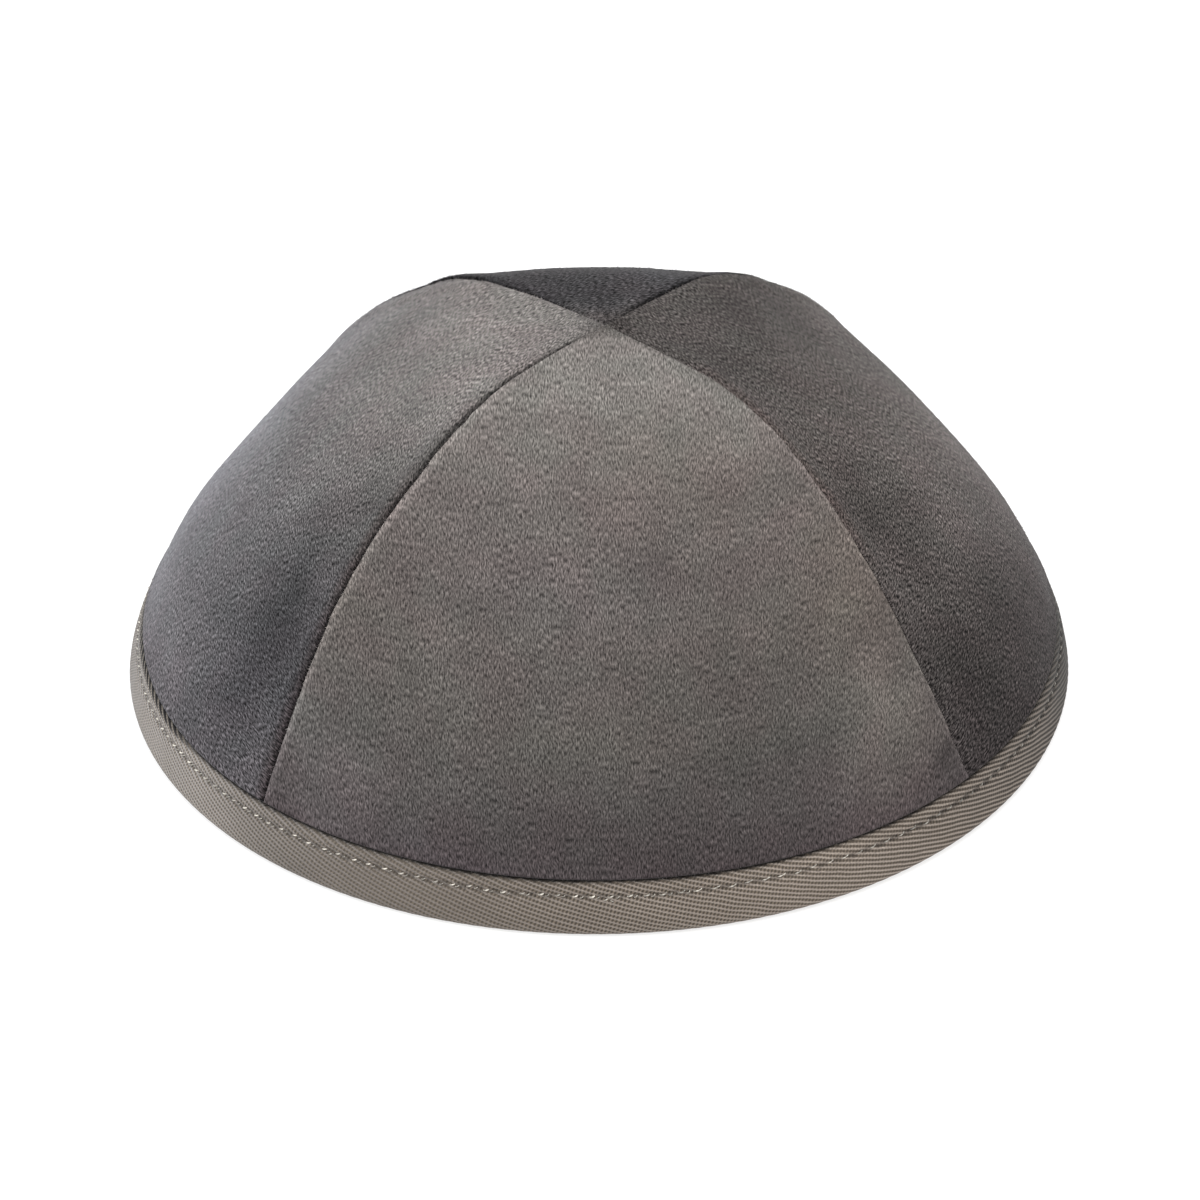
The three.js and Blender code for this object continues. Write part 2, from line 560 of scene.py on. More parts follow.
@dataclass(frozen=True)
class VelvetFinish:
    """Short pile velvet, seen with its nap lying one way on a panel, with painted light and shade
    for that panel.
    """

    name: str
    # Colours at heights on the panel, which carry painted shade as the lamps fall on it.
    painted_shade_tones: tuple[tuple[float, Colour], ...]
    marks: tuple[CrushSheenShadeMark, ...]
    low_edge: EdgeLook
    high_edge: EdgeLook
    lie: NapLie
    seed: float
    grain: float = 1.0
    tip_lift: float = 0.3
    sheen: float = 0.2
    sheen_tint: Colour = (0.92, 0.9, 0.9)
    tuft_width: float = 0.22
    tuft_length: float = 0.78
    patchiness: float = 0.5
    bruising: float = 0.38
    # How dark the painted shadow is on the velvet just above the tape's upper edge.
    hem_shade: float = 0.35
    warm_light: Colour = (1.12, 1.0, 0.87)
    cool_light: Colour = (0.9, 0.97, 1.125)
    reddish: Colour = (1.16, 0.95, 0.92)
    cap_height: float = 69.0

    def strokes(self, shop: Dressing, across: Wire, along: Wire, fall: Wire, lean: Wire) -> Wire:
        """Draws the fibre clumps at five leans and fades from one to the next as the nap turns.

        Args:
            shop: the material under way.
            across: the place across the panel.
            along: the place down the panel.
            fall: the same, but slower on the crown, where the pile stands up and looks longer.
            lean: the nap's lean, in lean steps.

        Returns:
            The clumps' lightness, from about -0.25 to 0.25.
        """
        total = None
        for number in range(-2, 3):
            turn = math.radians(number * LEAN_STEP)
            over = across * math.cos(turn) + along * math.sin(turn)
            down = fall * math.cos(turn) - across * math.sin(turn)
            over, down = over / self.tuft_width, down / self.tuft_length
            clumps = shop.grain(over, down, self.seed + number, 1.0)
            layer = (clumps - 0.5) * abs(lean - number).rise(0.0, 1.0, 1.0, 0.0) ** 0.7
            total = layer if total is None else total + layer
        return total

    def beside(self, away: Wire, along: Wire, look: EdgeLook) -> Wire:
        """Paints the pile beside a seam: a painted highlight on its edge and painted shade on the
        sewn line.

        Args:
            away: the distance from the seam.
            along: the place down the panel.
            look: the edge's look.

        Returns:
            The factor for its lightness.
        """
        clear = along.rise(2.0, 8.0)
        lift = along.rise(14.0, 45.0, look.crown, look.rim) * clear
        pale = away.rise(0.0, look.width, 1.0, 0.0)
        return (1.0 + pale * lift) * (1.0 - away.rise(0.1, 0.9, 1.0 - look.sewn, 0.0) * clear)

    def warmth(self, away: Wire, along: Wire, band: WarmBand) -> Wire:
        """How reddish the pile is at a distance from a seam and a place down the panel."""
        near = away.rise(0.2, band.width, band.share, 0.0)
        return near * abs(along - band.along).rise(band.reach * 0.4, band.reach, 1.0, 0.0)

    def worn(self, shop: Dressing, across: Wire, along: Wire) -> Wire:
        """How the pile is worn, in soft patches and in small bruises.

        Args:
            shop: the material under way.
            across: the place across the panel.
            along: the place down the panel.

        Returns:
            What the wear adds to its lightness.
        """
        patches = shop.grain(across / 11.0, along / 13.0, self.seed + 3.0, 2.0, 0.55)
        bruises = shop.grain(across / 3.2, along / 6.5, self.seed + 5.0, 3.0, 0.6)
        return (patches - 0.5) * self.patchiness + (bruises - 0.5) * self.bruising

    def toned(self, shop: Dressing, across: Wire, along: Wire, height: Wire, cool: Wire) -> Wire:
        """Colours the pile, with painted shade in its colours by height, before the lamps' own
        light and shade.

        Args:
            shop: the material under way.
            across: the place across the panel.
            along: the place down the panel.
            height: the height above the floor.
            cool: how cool the pile is there, from -2 to 2.

        Returns:
            The colour.
        """
        level = height / self.cap_height
        # The ramp by height carries painted shade as well as the velvet's own colour.
        tone = shop.node("ShaderNodeValToRGB", {"stops": self.painted_shade_tones}, {0: level})
        hue = shop.grain(across / 8.0, along / 10.0, self.seed + 9.0, 1.0)
        hues = shop.blend(hue.rise(0.3, 0.7), (1.018, 0.992, 0.994), (0.982, 1.008, 0.993))
        temper = shop.blend(cool * 0.25 + 0.5, self.warm_light, self.cool_light)
        return shop.tint(shop.tint(tone, hues), temper)

    def seamed(self, shop: Dressing, edge: Wire, along: Wire, ragged: Wire) -> tuple[Wire, Wire]:
        """Works out the painted highlight and shade of the pile beside the panel's two seams, and
        its reddish tint.

        Args:
            shop: the material under way.
            edge: the distance from the nearer seam, below 0 on the high edge's side.
            along: the place down the panel.
            ragged: how far the fibres stray there.

        Returns:
            The factor for its lightness with that painted highlight and shade, and the tint of its
            reddish stretches.
        """
        away = abs(edge) + ragged
        on_low = edge.rise(-0.05, 0.05, 1.0, 0.0)
        low = self.beside(away, along, self.low_edge)
        high = self.beside(away, along, self.high_edge)
        low_warm = self.warmth(away, along, self.low_edge.warm)
        high_warm = self.warmth(away, along, self.high_edge.warm)
        warm = high_warm + on_low * (low_warm - high_warm)
        return low * on_low + high * (1.0 - on_low), shop.blend(warm, WHITE, self.reddish)

    def material(self) -> bpy.types.Material:
        """Makes the velvet: fibre clumps along the nap, crushed patches and pale fibre tips.

        Returns:
            The velvet.
        """
        shop = Dressing(self.name)
        across, along, _ = shop.attribute("cloth")
        edge, height, tip = shop.attribute("spot")
        # The marks' shade and coolness are crushed pile with painted sheen and shade.
        shade, cool, lean = shop.attribute("nap")
        sway = (shop.grain(across / 2.4, along / 3.2, self.seed, 1.0) - 0.5) * 0.8
        fall = along * 0.55 + (self.cap_height - height) * 0.5
        strokes = self.strokes(shop, across + sway, along, fall, lean)
        contrast = height.rise(48.0, 66.0, 1.05, 0.92)
        pile = 1.0 + strokes * (1.95 * self.grain) * contrast
        ragged = (shop.grain(across / 0.7, along / 0.7, self.seed + 4.0, 1.0) - 0.5) * 1.2
        seam_light_and_shade, reddened = self.seamed(shop, edge, along, ragged)
        # Painted shadow on the velvet just above the tape, where it goes under the edge.
        hem = (height + ragged).rise(9.4, 10.5, self.hem_shade, 1.0)
        # The seam factor is painted highlight and shade beside the seams.
        light = pile * pile * (1.0 + self.worn(shop, across, along)) * (1.0 + shade) * seam_light_and_shade * hem
        light = light * (1.0 + tip * self.tip_lift)
        tone = self.toned(shop, across, along, height, cool)
        return shop.finish(
            base_color=shop.brighten(shop.tint(tone, reddened), light),
            roughness=strokes.rise(-0.2, 0.2, 0.98, 0.85),
            normal=shop.bump(strokes + 0.5, 0.12, 0.6),
            sheen_weight=self.sheen,
            sheen_roughness=0.32,
            sheen_tint=self.sheen_tint,
            specular_ior_level=0.1,
        )


@dataclass(frozen=True)
class BackingFinish:
    """The plain woven back of the velvet, inside the cap."""

    name: str = "velvet_backing"
    colour: Colour = (0.1, 0.092, 0.088)
    thread_pitch: float = 0.7

    def material(self) -> bpy.types.Material:
        """Makes a close plain weave.

        Returns:
            The backing.
        """
        shop = Dressing(self.name)
        across, along, _ = shop.attribute("cloth")
        turn = 2.0 * math.pi / self.thread_pitch
        warp = (across * turn).sine()
        weft = (along * turn).sine()
        weave = warp * weft * 0.5 + 0.5
        slub = shop.grain(across / 2.0, along / 9.0, 1.0, 2.0)
        light = 0.75 + weave * 0.3 + (slub - 0.5) * 0.5
        return shop.finish(
            base_color=shop.brighten(self.colour, light),
            roughness=0.9,
            normal=shop.bump(weave, 0.15, 0.6),
            specular_ior_level=0.2,
        )


@dataclass(frozen=True)
class TwillFinish:
    """Ribbed twill tape, whose floats stand in rows that cross it at a slant."""

    name: str = "twill_tape"
    colour: Colour = (0.214, 0.184, 0.157)
    groove_tint: Colour = (1.07, 1.0, 0.89)
    warm_light: Colour = (1.12, 1.0, 0.86)
    cool_light: Colour = (0.89, 0.99, 1.15)
    rib_across: float = 1.214
    rib_along: float = -0.384
    float_along: float = 1.558
    float_across: float = 0.344
    stitch_line: float = 2.1
    stitch_pitch: float = 2.9
    stitch_start: float = 0.87
    # Painted light and shade round the rim: lighter and cooler on the left, darker on the right.
    marks: tuple[TapePaintedLightMark, ...] = (
        TapePaintedLightMark(268.0, 14.0, 0.06, 0.45),
        TapePaintedLightMark(290.0, 66.0, 0.0, 1.45),
        TapePaintedLightMark(297.0, 34.0, 0.47),
        TapePaintedLightMark(354.0, 24.0, -0.24, weave=-0.4),
        TapePaintedLightMark(336.0, 12.0, -0.07),
        TapePaintedLightMark(434.0, 26.0, 0.3),
        TapePaintedLightMark(490.0, 30.0, 0.0, weave=0.25),
        TapePaintedLightMark(500.0, 9.0, -0.06),
        TapePaintedLightMark(520.0, 28.0, -0.82),
    )

    def rib(self, along: "np.ndarray | Wire", down: "np.ndarray | Wire") -> "np.ndarray | Wire":
        """How many ribs a place on the tape lies from the first."""
        return down * self.rib_across + along * self.rib_along

    def needle_pit_shade(self, along: Wire, down: Wire) -> Wire:
        """Paints shade into the holes that the needle left.

        Args:
            along: the place along the tape.
            down: the place below its upper edge.

        Returns:
            The share of the light that they take.
        """
        needle = (along - self.stitch_start) / self.stitch_pitch
        away = abs(needle - (needle + 0.5).floor())
        row = abs(down - self.stitch_line - 0.1).rise(0.2, 0.65, 1.0, 0.0)
        return row * away.rise(0.1, 0.24) * along.rise(425.0, 460.0, 0.35, 0.55)

    def upper_edge_shadow(
        self, shop: Dressing, along: Wire, down: Wire, rib: Wire, strand: Wire, left: Wire
    ) -> Wire:
        """Paints shadow along the upper edge, with small dark teeth where the ribs and floats end.

        Args:
            shop: the material under way.
            along: the place along the tape.
            down: the place below its upper edge.
            rib: the place across a rib, from -0.5 to 0.5.
            strand: the place along a float, from -0.5 to 0.5.
            left: 1 on the rim's left end, where the edge is seen from the side, and 0 elsewhere.

        Returns:
            The factor for its lightness.
        """
        # The teeth and notches are painted shadow where the ribs and floats end at the edge.
        teeth = (down - left * 0.85).rise(-0.5, 0.2, 0.97, 0.0)
        teeth = teeth * (abs(rib) + left * 0.08).rise(0.18, 0.34) * (0.2 + left * 0.8)
        notches = down.rise(0.05, 0.4, 0.45, 0.0) * abs(strand).rise(0.2, 0.45)
        jagged = (shop.grain(along / 0.7, down / 0.7, 5.0, 1.0) - 0.5) * 1.2
        # A painted shadow line along the upper edge, less ragged on the left end and fainter
        # towards the right.
        line = (down + jagged * (1.0 - left * 0.6) + left * 0.75).rise(-0.5, 0.05, 0.22, 1.0)
        line = line + (1.0 - line) * along.rise(440.0, 500.0, 0.0, 0.5)
        return (1.0 - notches) * (1.0 - teeth) * line

    def material(self) -> bpy.types.Material:
        """Makes the twill: ribs, the gaps between their floats and the needle holes darkened with
        painted shade, a painted shadow along the upper edge, and painted light and shade round the
        rim.

        Returns:
            The twill.
        """
        shop = Dressing(self.name)
        along, down, _ = shop.attribute("tape")
        # shade and cool are painted light and shade round the rim; weave changes how strong the
        # weave shows.
        shade, cool, weave = shop.attribute("tone")
        sway = (shop.grain(along / 5.0, down / 3.0, 2.0, 1.0) - 0.5) * 0.5
        place = self.rib(along, down) + sway
        rib = place - (place + 0.5).floor()
        place = along * self.float_along + down * self.float_across + sway * 0.6
        strand = place - (place + 0.5).floor()
        lean = (rib + strand * 0.4) / 0.36
        wide = strand / 0.34
        gaps = (lean * lean + wide * wide).rise(0.4, 1.4, 1.0, 0.0)
        ridge = abs(rib).rise(0.12, 0.4)
        yarn = shop.grain(along / 0.42, down / 0.26, 4.0, 2.0, 0.65)
        soil = shop.grain(along / 14.0, down / 5.0, 6.0, 2.0)
        left = along.rise(299.0, 314.0, 1.0, 0.0)
        clear = 1.0 + weave
        # Painted shade in the gaps between the floats and in the grooves between the ribs,
        # stronger in places round the rim.
        gap_shade = along.rise(265.0, 350.0, 0.5, 0.64) * along.rise(400.0, 450.0, 1.0, 0.62)
        groove_shade = along.rise(280.0, 355.0, 0.06, 0.36) + along.rise(400.0, 450.0, 0.0, 0.3)
        light = (1.0 - gaps * (gap_shade * clear)) * (1.0 - (1.0 - ridge) * (groove_shade * clear))
        light = light * (1.0 - self.needle_pit_shade(along, down))
        light = light * self.upper_edge_shadow(shop, along, down, rib, strand, left)
        puckered = 1.1 + abs(down - self.stitch_line).rise(0.5, 1.6, 1.2, 0.0) * (1.0 + left)
        light = light * (1.0 + (yarn - 0.5) * puckered) * (0.84 + soil * 0.32) * (1.0 + shade)
        colour = shop.blend(ridge, shop.tint(self.colour, self.groove_tint), self.colour)
        temper = shop.blend(cool * 0.25 + 0.5, self.warm_light, self.cool_light)
        relief = ridge * 0.45 + yarn * 0.3 - gaps * 0.6
        return shop.finish(
            base_color=shop.brighten(shop.tint(colour, temper), light),
            roughness=yarn.rise(0.3, 0.7, 0.74, 0.9),
            normal=shop.bump(relief, 0.14, 0.8),
            sheen_weight=0.1,
            sheen_roughness=0.4,
            specular_ior_level=0.25,
        )


@dataclass(frozen=True)
class ThreadFinish:
    """Twisted sewing thread with a soft shine."""

    name: str = "stitch_thread"
    light: Colour = (0.66, 0.62, 0.55)
    dark: Colour = (0.3, 0.27, 0.23)
    twist: float = 9.0

    def material(self) -> bpy.types.Material:
        """Makes the thread, with its plies winding along it.

        Returns:
            The thread.
        """
        shop = Dressing(self.name)
        # light is each stitch's lightness, with its painted highlight and painted shade.
        along, around, light = shop.attribute("ply")
        plies = (along * self.twist + around).sine() * 0.5 + 0.5
        colour = shop.blend(plies.rise(0.1, 0.7), self.dark, self.light)
        return shop.finish(
            base_color=shop.brighten(colour, light),
            roughness=0.45,
            normal=shop.bump(plies, 0.06, 0.6),
            sheen_weight=0.2,
            specular_ior_level=0.5,
        )


@dataclass(frozen=True)
class FloorFinish:
    """A smooth pale floor, lit a little from below."""

    name: str = "pale_floor"
    colour: Colour = (0.45, 0.45, 0.45)
    glow: float = 0.62

    def material(self) -> bpy.types.Material:
        """Makes the floor's even finish.

        Returns:
            The floor's material.
        """
        return Dressing(self.name).finish(
            base_color=self.colour,
            roughness=0.9,
            emission_color=WHITE,
            emission_strength=self.glow,
        )


@dataclass
class MeshDraft:
    """A mesh under way: its points, faces, and the numbers that its finish reads."""

    points: list[np.ndarray] = field(default_factory=list)
    fields: dict[str, list[np.ndarray]] = field(default_factory=dict)
    faces: list[tuple[np.ndarray, int]] = field(default_factory=list)
    count: int = 0

    def add_points(self, points: np.ndarray, **fields: np.ndarray) -> np.ndarray:
        """Adds points and what they hold.

        Args:
            points: places in millimetres, along a last axis of three.
            fields: three numbers for each point, by name.

        Returns:
            The new points' numbers, in the shape of the points.
        """
        shape = points.shape[:-1]
        total = int(np.prod(shape))
        self.points.append(points.reshape(-1, 3))
        for name, values in fields.items():
            full = np.broadcast_to(values, (*shape, 3)).reshape(-1, 3)
            self.fields.setdefault(name, []).append(full)
        numbers = np.arange(self.count, self.count + total).reshape(shape)
        self.count += total
        return numbers

    def add_faces(self, corners: np.ndarray, finish: int = 0) -> None:
        """Adds faces of one number of corners each, with the number of their finish."""
        self.faces.append((corners.reshape(-1, corners.shape[-1]), finish))

    def add_sheet(self, grid: np.ndarray, finish: int = 0, turned: bool = False) -> None:
        """Adds the faces of a grid of points.

        Args:
            grid: the points' numbers, rows by columns.
            finish: the number of the faces' finish.
            turned: whether the faces look the other way.
        """
        corners = [grid[:-1, :-1], grid[1:, :-1], grid[1:, 1:], grid[:-1, 1:]]
        if turned:
            corners.reverse()
        self.add_faces(np.stack(corners, axis=-1), finish)

    def add_edging(self, fine: np.ndarray, coarse: np.ndarray, finish: int, turned: bool) -> None:
        """Closes a gap between a fine edge and a coarse one, each of whose steps spans several.

        Args:
            fine: the point numbers along the fine edge.
            coarse: the point numbers along the coarse edge.
            finish: the number of the faces' finish.
            turned: whether the faces look the other way.
        """
        span = (len(fine) - 1) // (len(coarse) - 1)
        for step in range(len(coarse) - 1):
            ring = [*fine[step * span : (step + 1) * span + 1], coarse[step + 1], coarse[step]]
            if turned:
                ring.reverse()
            self.add_faces(np.array([ring]), finish)

    def build(self, name: str, finishes: Sequence[bpy.types.Material]) -> bpy.types.Object:
        """Writes the mesh and links its object.

        Args:
            name: the piece's name.
            finishes: its materials, in the order of the faces' numbers.

        Returns:
            The new object.
        """
        mesh = bpy.data.meshes.new(name)
        points = np.concatenate(self.points) * MM
        mesh.vertices.add(len(points))
        mesh.vertices.foreach_set("co", points.astype(np.float32).ravel())
        corners = np.concatenate([face.ravel() for face, _ in self.faces])
        sizes = np.concatenate([np.full(len(face), face.shape[1]) for face, _ in self.faces])
        starts = np.concatenate([[0], np.cumsum(sizes)[:-1]])
        mesh.loops.add(len(corners))
        mesh.loops.foreach_set("vertex_index", corners.astype(np.int32))
        mesh.polygons.add(len(sizes))
        mesh.polygons.foreach_set("loop_start", starts.astype(np.int32))
        mesh.polygons.foreach_set("loop_total", sizes.astype(np.int32))
        kinds = np.concatenate([np.full(len(face), kind) for face, kind in self.faces])
        mesh.polygons.foreach_set("material_index", kinds.astype(np.int32))
        for field_name, parts in self.fields.items():
            held = mesh.attributes.new(field_name, "FLOAT_VECTOR", "POINT")
            held.data.foreach_set("vector", np.concatenate(parts).astype(np.float32).ravel())
        for finish in finishes:
            mesh.materials.append(finish)
        mesh.update(calc_edges=True)
        mesh.validate()
        mesh.polygons.foreach_set("use_smooth", np.ones(len(mesh.polygons), dtype=bool))
        piece = bpy.data.objects.new(name, mesh)
        bpy.context.scene.collection.objects.link(piece)
        return piece


class PanelProfile(NamedTuple):
    """The rows of a panel from its tip to its hem, once on a seam and once on its middle."""

    seam_reach: np.ndarray
    seam_height: np.ndarray
    seam_out: np.ndarray
    seam_up: np.ndarray
    panel_reach: np.ndarray
    panel_height: np.ndarray
    share: np.ndarray
    along: np.ndarray


class HemRow(NamedTuple):
    """One row of the velvet's roll under the tape: its reach, height, and share of facing out."""

    reach: float
    height: float
    out: float


class PileCoat(NamedTuple):
    """The velvet's face, point by point: its place, which way it faces, what its finish reads."""

    points: np.ndarray
    way: np.ndarray
    cloth: np.ndarray
    spot: np.ndarray
    nap: np.ndarray


@dataclass
class VelvetPanel:
    """One velvet panel of the crown, with turned seam edges, a rolled hem and a short pile."""

    side: PanelSide
    form: CapForm
    velvet: VelvetFinish
    backing: BackingFinish
    step: float = 0.5
    near_seam: tuple[float, ...] = (0.0, 0.07, 0.16, 0.28, 0.43, 0.62, 0.86, 1.2)
    coarse: int = 3
    coarse_rows: int = 71
    seam_gap: float = 0.06
    seam_ridge: float = 0.22
    slackness: float = 0.35
    tuft_relief: float = 0.04
    seam_fibres: int = 1500
    tip_fibres: int = 520
    loose_fibres: int = 8000
    fibre_length: float = 0.8
    fibre_width: float = 0.11
    bare_rows: int = 9
    hem_rows: tuple[HemRow, ...] = (
        HemRow(82.1, 10.55, 0.97),
        HemRow(82.24, 10.25, 1.0),
        HemRow(82.22, 10.0, 0.97),
        HemRow(82.05, 9.82, 0.75),
        HemRow(81.75, 9.72, 0.3),
        HemRow(81.35, 9.68, 0.1),
        HemRow(81.12, 9.6, 0.4),
        HemRow(81.1, 9.3, 0.95),
        HemRow(82.35, 6.0, 0.97),
        HemRow(83.3, 3.0, 0.98),
        HemRow(83.7, 1.3, 0.98),
    )

    def profile(self, depth: float) -> PanelProfile:
        """Works out the rows of the panel at a depth below its face.

        Args:
            depth: how far below the face, in millimetres.

        Returns:
            The rows.
        """
        form = self.form
        roll_reach, roll_height, roll_out = np.array(self.hem_rows).T
        rows = self.coarse * self.coarse_rows + 1 - len(self.hem_rows)
        place = form.crown_end * (np.arange(rows) + 0.1) / (rows - 0.9)
        columns = {}
        for column in ("seam", "panel"):
            out, up = form.facing(column, place)
            reach = form.section(column, place) - depth * out
            height = form.section("height", place) - depth * up
            columns[column] = (reach, height, out, up)
        seam_reach, seam_height, seam_out, seam_up = columns["seam"]
        panel_reach, panel_height = columns["panel"][:2]
        reach = roll_reach - depth * np.minimum(1.0, roll_out + depth * 0.4)
        height = np.maximum(roll_height, form.hem_height)
        seam_reach = np.concatenate([seam_reach, reach])
        middle = np.concatenate([panel_reach, reach])
        seam_height = np.concatenate([seam_height, height])
        panel_height = np.concatenate([panel_height, height])
        out = np.concatenate([seam_out, roll_out])
        up = np.concatenate([seam_up, np.sqrt(1.0 - np.minimum(roll_out, 1.0) ** 2)])
        share = np.concatenate([place / form.last, np.ones_like(reach)])
        steps = np.hypot(np.diff(middle), np.diff(panel_height))
        along = np.concatenate([[middle[0]], middle[0] + np.cumsum(steps)])
        return PanelProfile(seam_reach, seam_height, out, up, middle, panel_height, share, along)

    def angles(self) -> np.ndarray:
        """Works out the columns across the panel, closer together beside the seams.

        Returns:
            Angles from seam to seam, in degrees from the panel's middle.
        """
        half = QUARTER / 2.0
        reach = self.form.sections[-1].seam
        width = math.radians(half) * reach
        near = self.near_seam[:-1]
        count = int((width - self.near_seam[-1]) / self.step)
        while (count + len(near)) * 2 % (2 * self.coarse):
            count += 1
        even = np.linspace(self.near_seam[-1], width, count + 1)
        from_seam = np.concatenate([near, even])
        side = np.degrees((width - from_seam) / reach)
        return np.concatenate([-side, side[::-1][1:]])

    def sheet(self, profile: PanelProfile, angles: np.ndarray) -> tuple[np.ndarray, ...]:
        """Lays out one face of the panel, smooth as its solid is.

        Args:
            profile: the rows.
            angles: the columns, in degrees from the panel's middle.

        Returns:
            The points, the distances to the nearer seam, the azimuths, and the angles from the
            panel's middle.
        """
        half = QUARTER / 2.0
        inset = np.degrees(np.arcsin(np.minimum(1.0, self.seam_gap / 2.0 / profile.seam_reach)))
        straight = angles[None, :] * ((half - inset) / half)[:, None]
        angle = straight + self.wander(profile, straight)
        to_seam = (1.0 / np.cos(np.radians(angle)) - 1.0) / (math.sqrt(2.0) - 1.0)
        to_middle = 1.0 - to_seam
        reach = profile.panel_reach[:, None] * to_middle
        reach = reach + profile.seam_reach[:, None] * to_seam
        height = profile.panel_height[:, None] * to_middle
        height = height + profile.seam_height[:, None] * to_seam
        azimuth = self.side.value + angle
        points = self.form.lay(reach, azimuth, height, profile.share[:, None])
        edge = reach * np.sin(np.radians(half - np.abs(straight))) - self.seam_gap / 2.0
        return points, np.maximum(edge, 0.0), azimuth, angle

    def wander(self, profile: PanelProfile, angle: np.ndarray) -> np.ndarray:
        """Lets the sewn seams wander from their smooth lines, the same way on both sides.

        Args:
            profile: the rows.
            angle: the columns of each row, in degrees from the panel's middle.

        Returns:
            Degrees to add to each angle.
        """
        half = QUARTER / 2.0
        place = profile.share * self.form.last
        line = profile.share * self.form.sections[-1].seam * 1.3
        strays = {int(seam.azimuth): seam.strays for seam in self.form.seams}
        turned = np.zeros_like(angle)
        for sign in (-1.0, 1.0):
            seam = int((self.side.value + sign * half) % 360.0)
            stray = np.interp(place, np.arange(self.form.last + 1), strays[seam])
            share = ease(-half, half, sign * angle)
            turned = turned + np.degrees(stray / profile.seam_reach)[:, None] * share
            sewn = Unevenness(seam).at(line / 2.6, np.full_like(line, 3.0)) * 0.1
            sewn = sewn + Unevenness(seam).at(line / 13.0, np.full_like(line, 90.0)) * 0.2
            sewn = sewn * ease(0.04, 0.16, profile.share) * ease(1.0, 0.97, profile.share)
            away = profile.seam_reach[:, None] * np.radians(half - sign * angle)
            near = hump(0.0, 3.0, away)
            turned = turned + np.degrees(sewn / profile.seam_reach)[:, None] * near
        return turned

    def normals(self, points: np.ndarray) -> np.ndarray:
        """Finds the outward direction at each point of a face.

        Args:
            points: the face's points, rows by columns.

        Returns:
            Directions of length 1.
        """
        down = np.gradient(points, axis=0)
        across = np.gradient(points, axis=1)
        normal = np.cross(down, across)
        return normal / np.maximum(np.linalg.norm(normal, axis=-1, keepdims=True), 1e-12)

    def seam_facing(self, profile: PanelProfile, azimuth: np.ndarray) -> np.ndarray:
        """Finds which way the ridge of the nearer seam faces.

        Args:
            profile: the rows.
            azimuth: the azimuth of each point.

        Returns:
            A direction of length 1 for each point.
        """
        side = np.where(azimuth < self.side.value, -1.0, 1.0)
        seam = self.side.value + side * QUARTER / 2.0
        lies = np.radians(self.form.azimuth(seam, profile.share[:, None]))
        out = profile.seam_out[:, None]
        up = np.broadcast_to(profile.seam_up[:, None], lies.shape)
        return np.stack([out * np.cos(lies), out * np.sin(lies), up], axis=-1)

    def relief(
        self, across: np.ndarray, along: np.ndarray, edge: np.ndarray, hem: float
    ) -> np.ndarray:
        """Works out how far the velvet stands out from its smooth face.

        Args:
            across: distances from the panel's middle line.
            along: distances from the panel's tip.
            edge: distances to the nearer seam.
            hem: the distance from the tip at which the hem's roll starts.

        Returns:
            The relief in millimetres.
        """
        seed = int(self.side.value) + 11
        slack, creases, clumps = Unevenness(seed), Unevenness(seed + 1), Unevenness(seed + 2)
        free = ease(1.0, 12.0, edge) * ease(hem, hem - 9.0, along)
        deep = ease(-6.0, 14.0, along)
        soft = slack.at(across / 21.0 + 40.0, along / 24.0) * self.slackness
        soft = soft + creases.at(across / 9.0 + 60.0, along / 12.0) * self.slackness * 0.25
        size = np.where(across < 0.0, self.velvet.low_edge.roll, self.velvet.high_edge.roll)
        inside = np.clip((size - edge) / size, 0.0, 1.0)
        roll = size * (1.0 - np.sqrt(1.0 - inside**2)) * deep
        ridge = self.seam_ridge * hump(2.2, 1.6, edge) * ease(0.0, 1.2, edge) * deep
        tufts = clumps.at(across / 0.9 + 80.0, along / 2.6) * self.tuft_relief
        tufts = tufts * ease(hem + 1.5, hem - 1.0, along)
        return soft * free + ridge * ease(hem + 1.0, hem - 3.0, along) - roll + tufts

    def grow(
        self,
        draft: MeshDraft,
        coat: PileCoat,
        spots: np.ndarray,
        lie: tuple[float, float, float, float],
        size: float,
        chance: np.random.Generator,
    ) -> None:
        """Adds short pointed fibres rooted in the velvet.

        Args:
            draft: the mesh to add to.
            coat: the velvet's face.
            spots: the row and the column of each root.
            lie: the share of up, down the nap, towards the seam and chance in each fibre's lie.
            size: the fibres' length, as a share of the panel's fibre length.
            chance: the panel's source of chance.
        """
        row, column = spots
        count = len(row)
        root = coat.points[row, column]
        up = coat.way[row, column]
        down = coat.points[np.minimum(row + 2, len(coat.points) - 1), column] - root
        down /= np.maximum(np.linalg.norm(down, axis=1, keepdims=True), 1e-9)
        side = np.sign(coat.spot[row, column, 0])[:, None]
        over = np.cross(up, down)
        lean = np.radians(coat.nap[row, column, 2] * LEAN_STEP)[:, None]
        nap = down * np.cos(lean) - over * np.sin(lean)
        turn = chance.normal(0.0, 1.0, (count, 3))
        way = up * lie[0] + nap * lie[1] + over * side * lie[2] + turn * lie[3]
        way /= np.linalg.norm(way, axis=1, keepdims=True)
        length = self.fibre_length * size * chance.uniform(0.5, 1.15, (count, 1))
        wide = np.cross(way, up)
        wide /= np.maximum(np.linalg.norm(wide, axis=1, keepdims=True), 1e-9)
        deep = np.cross(wide, way)
        half = self.fibre_width * 0.5 * chance.uniform(0.6, 1.2, (count, 1))
        base = root - up * 0.1
        corners = [base + wide * half, base - wide * half, base + deep * half * 0.8]
        ring = np.stack([*corners, root + way * length], axis=1)
        cloth = np.repeat(coat.cloth[row, column][:, None, :], 4, axis=1)
        nap = np.repeat(coat.nap[row, column][:, None, :], 4, axis=1)
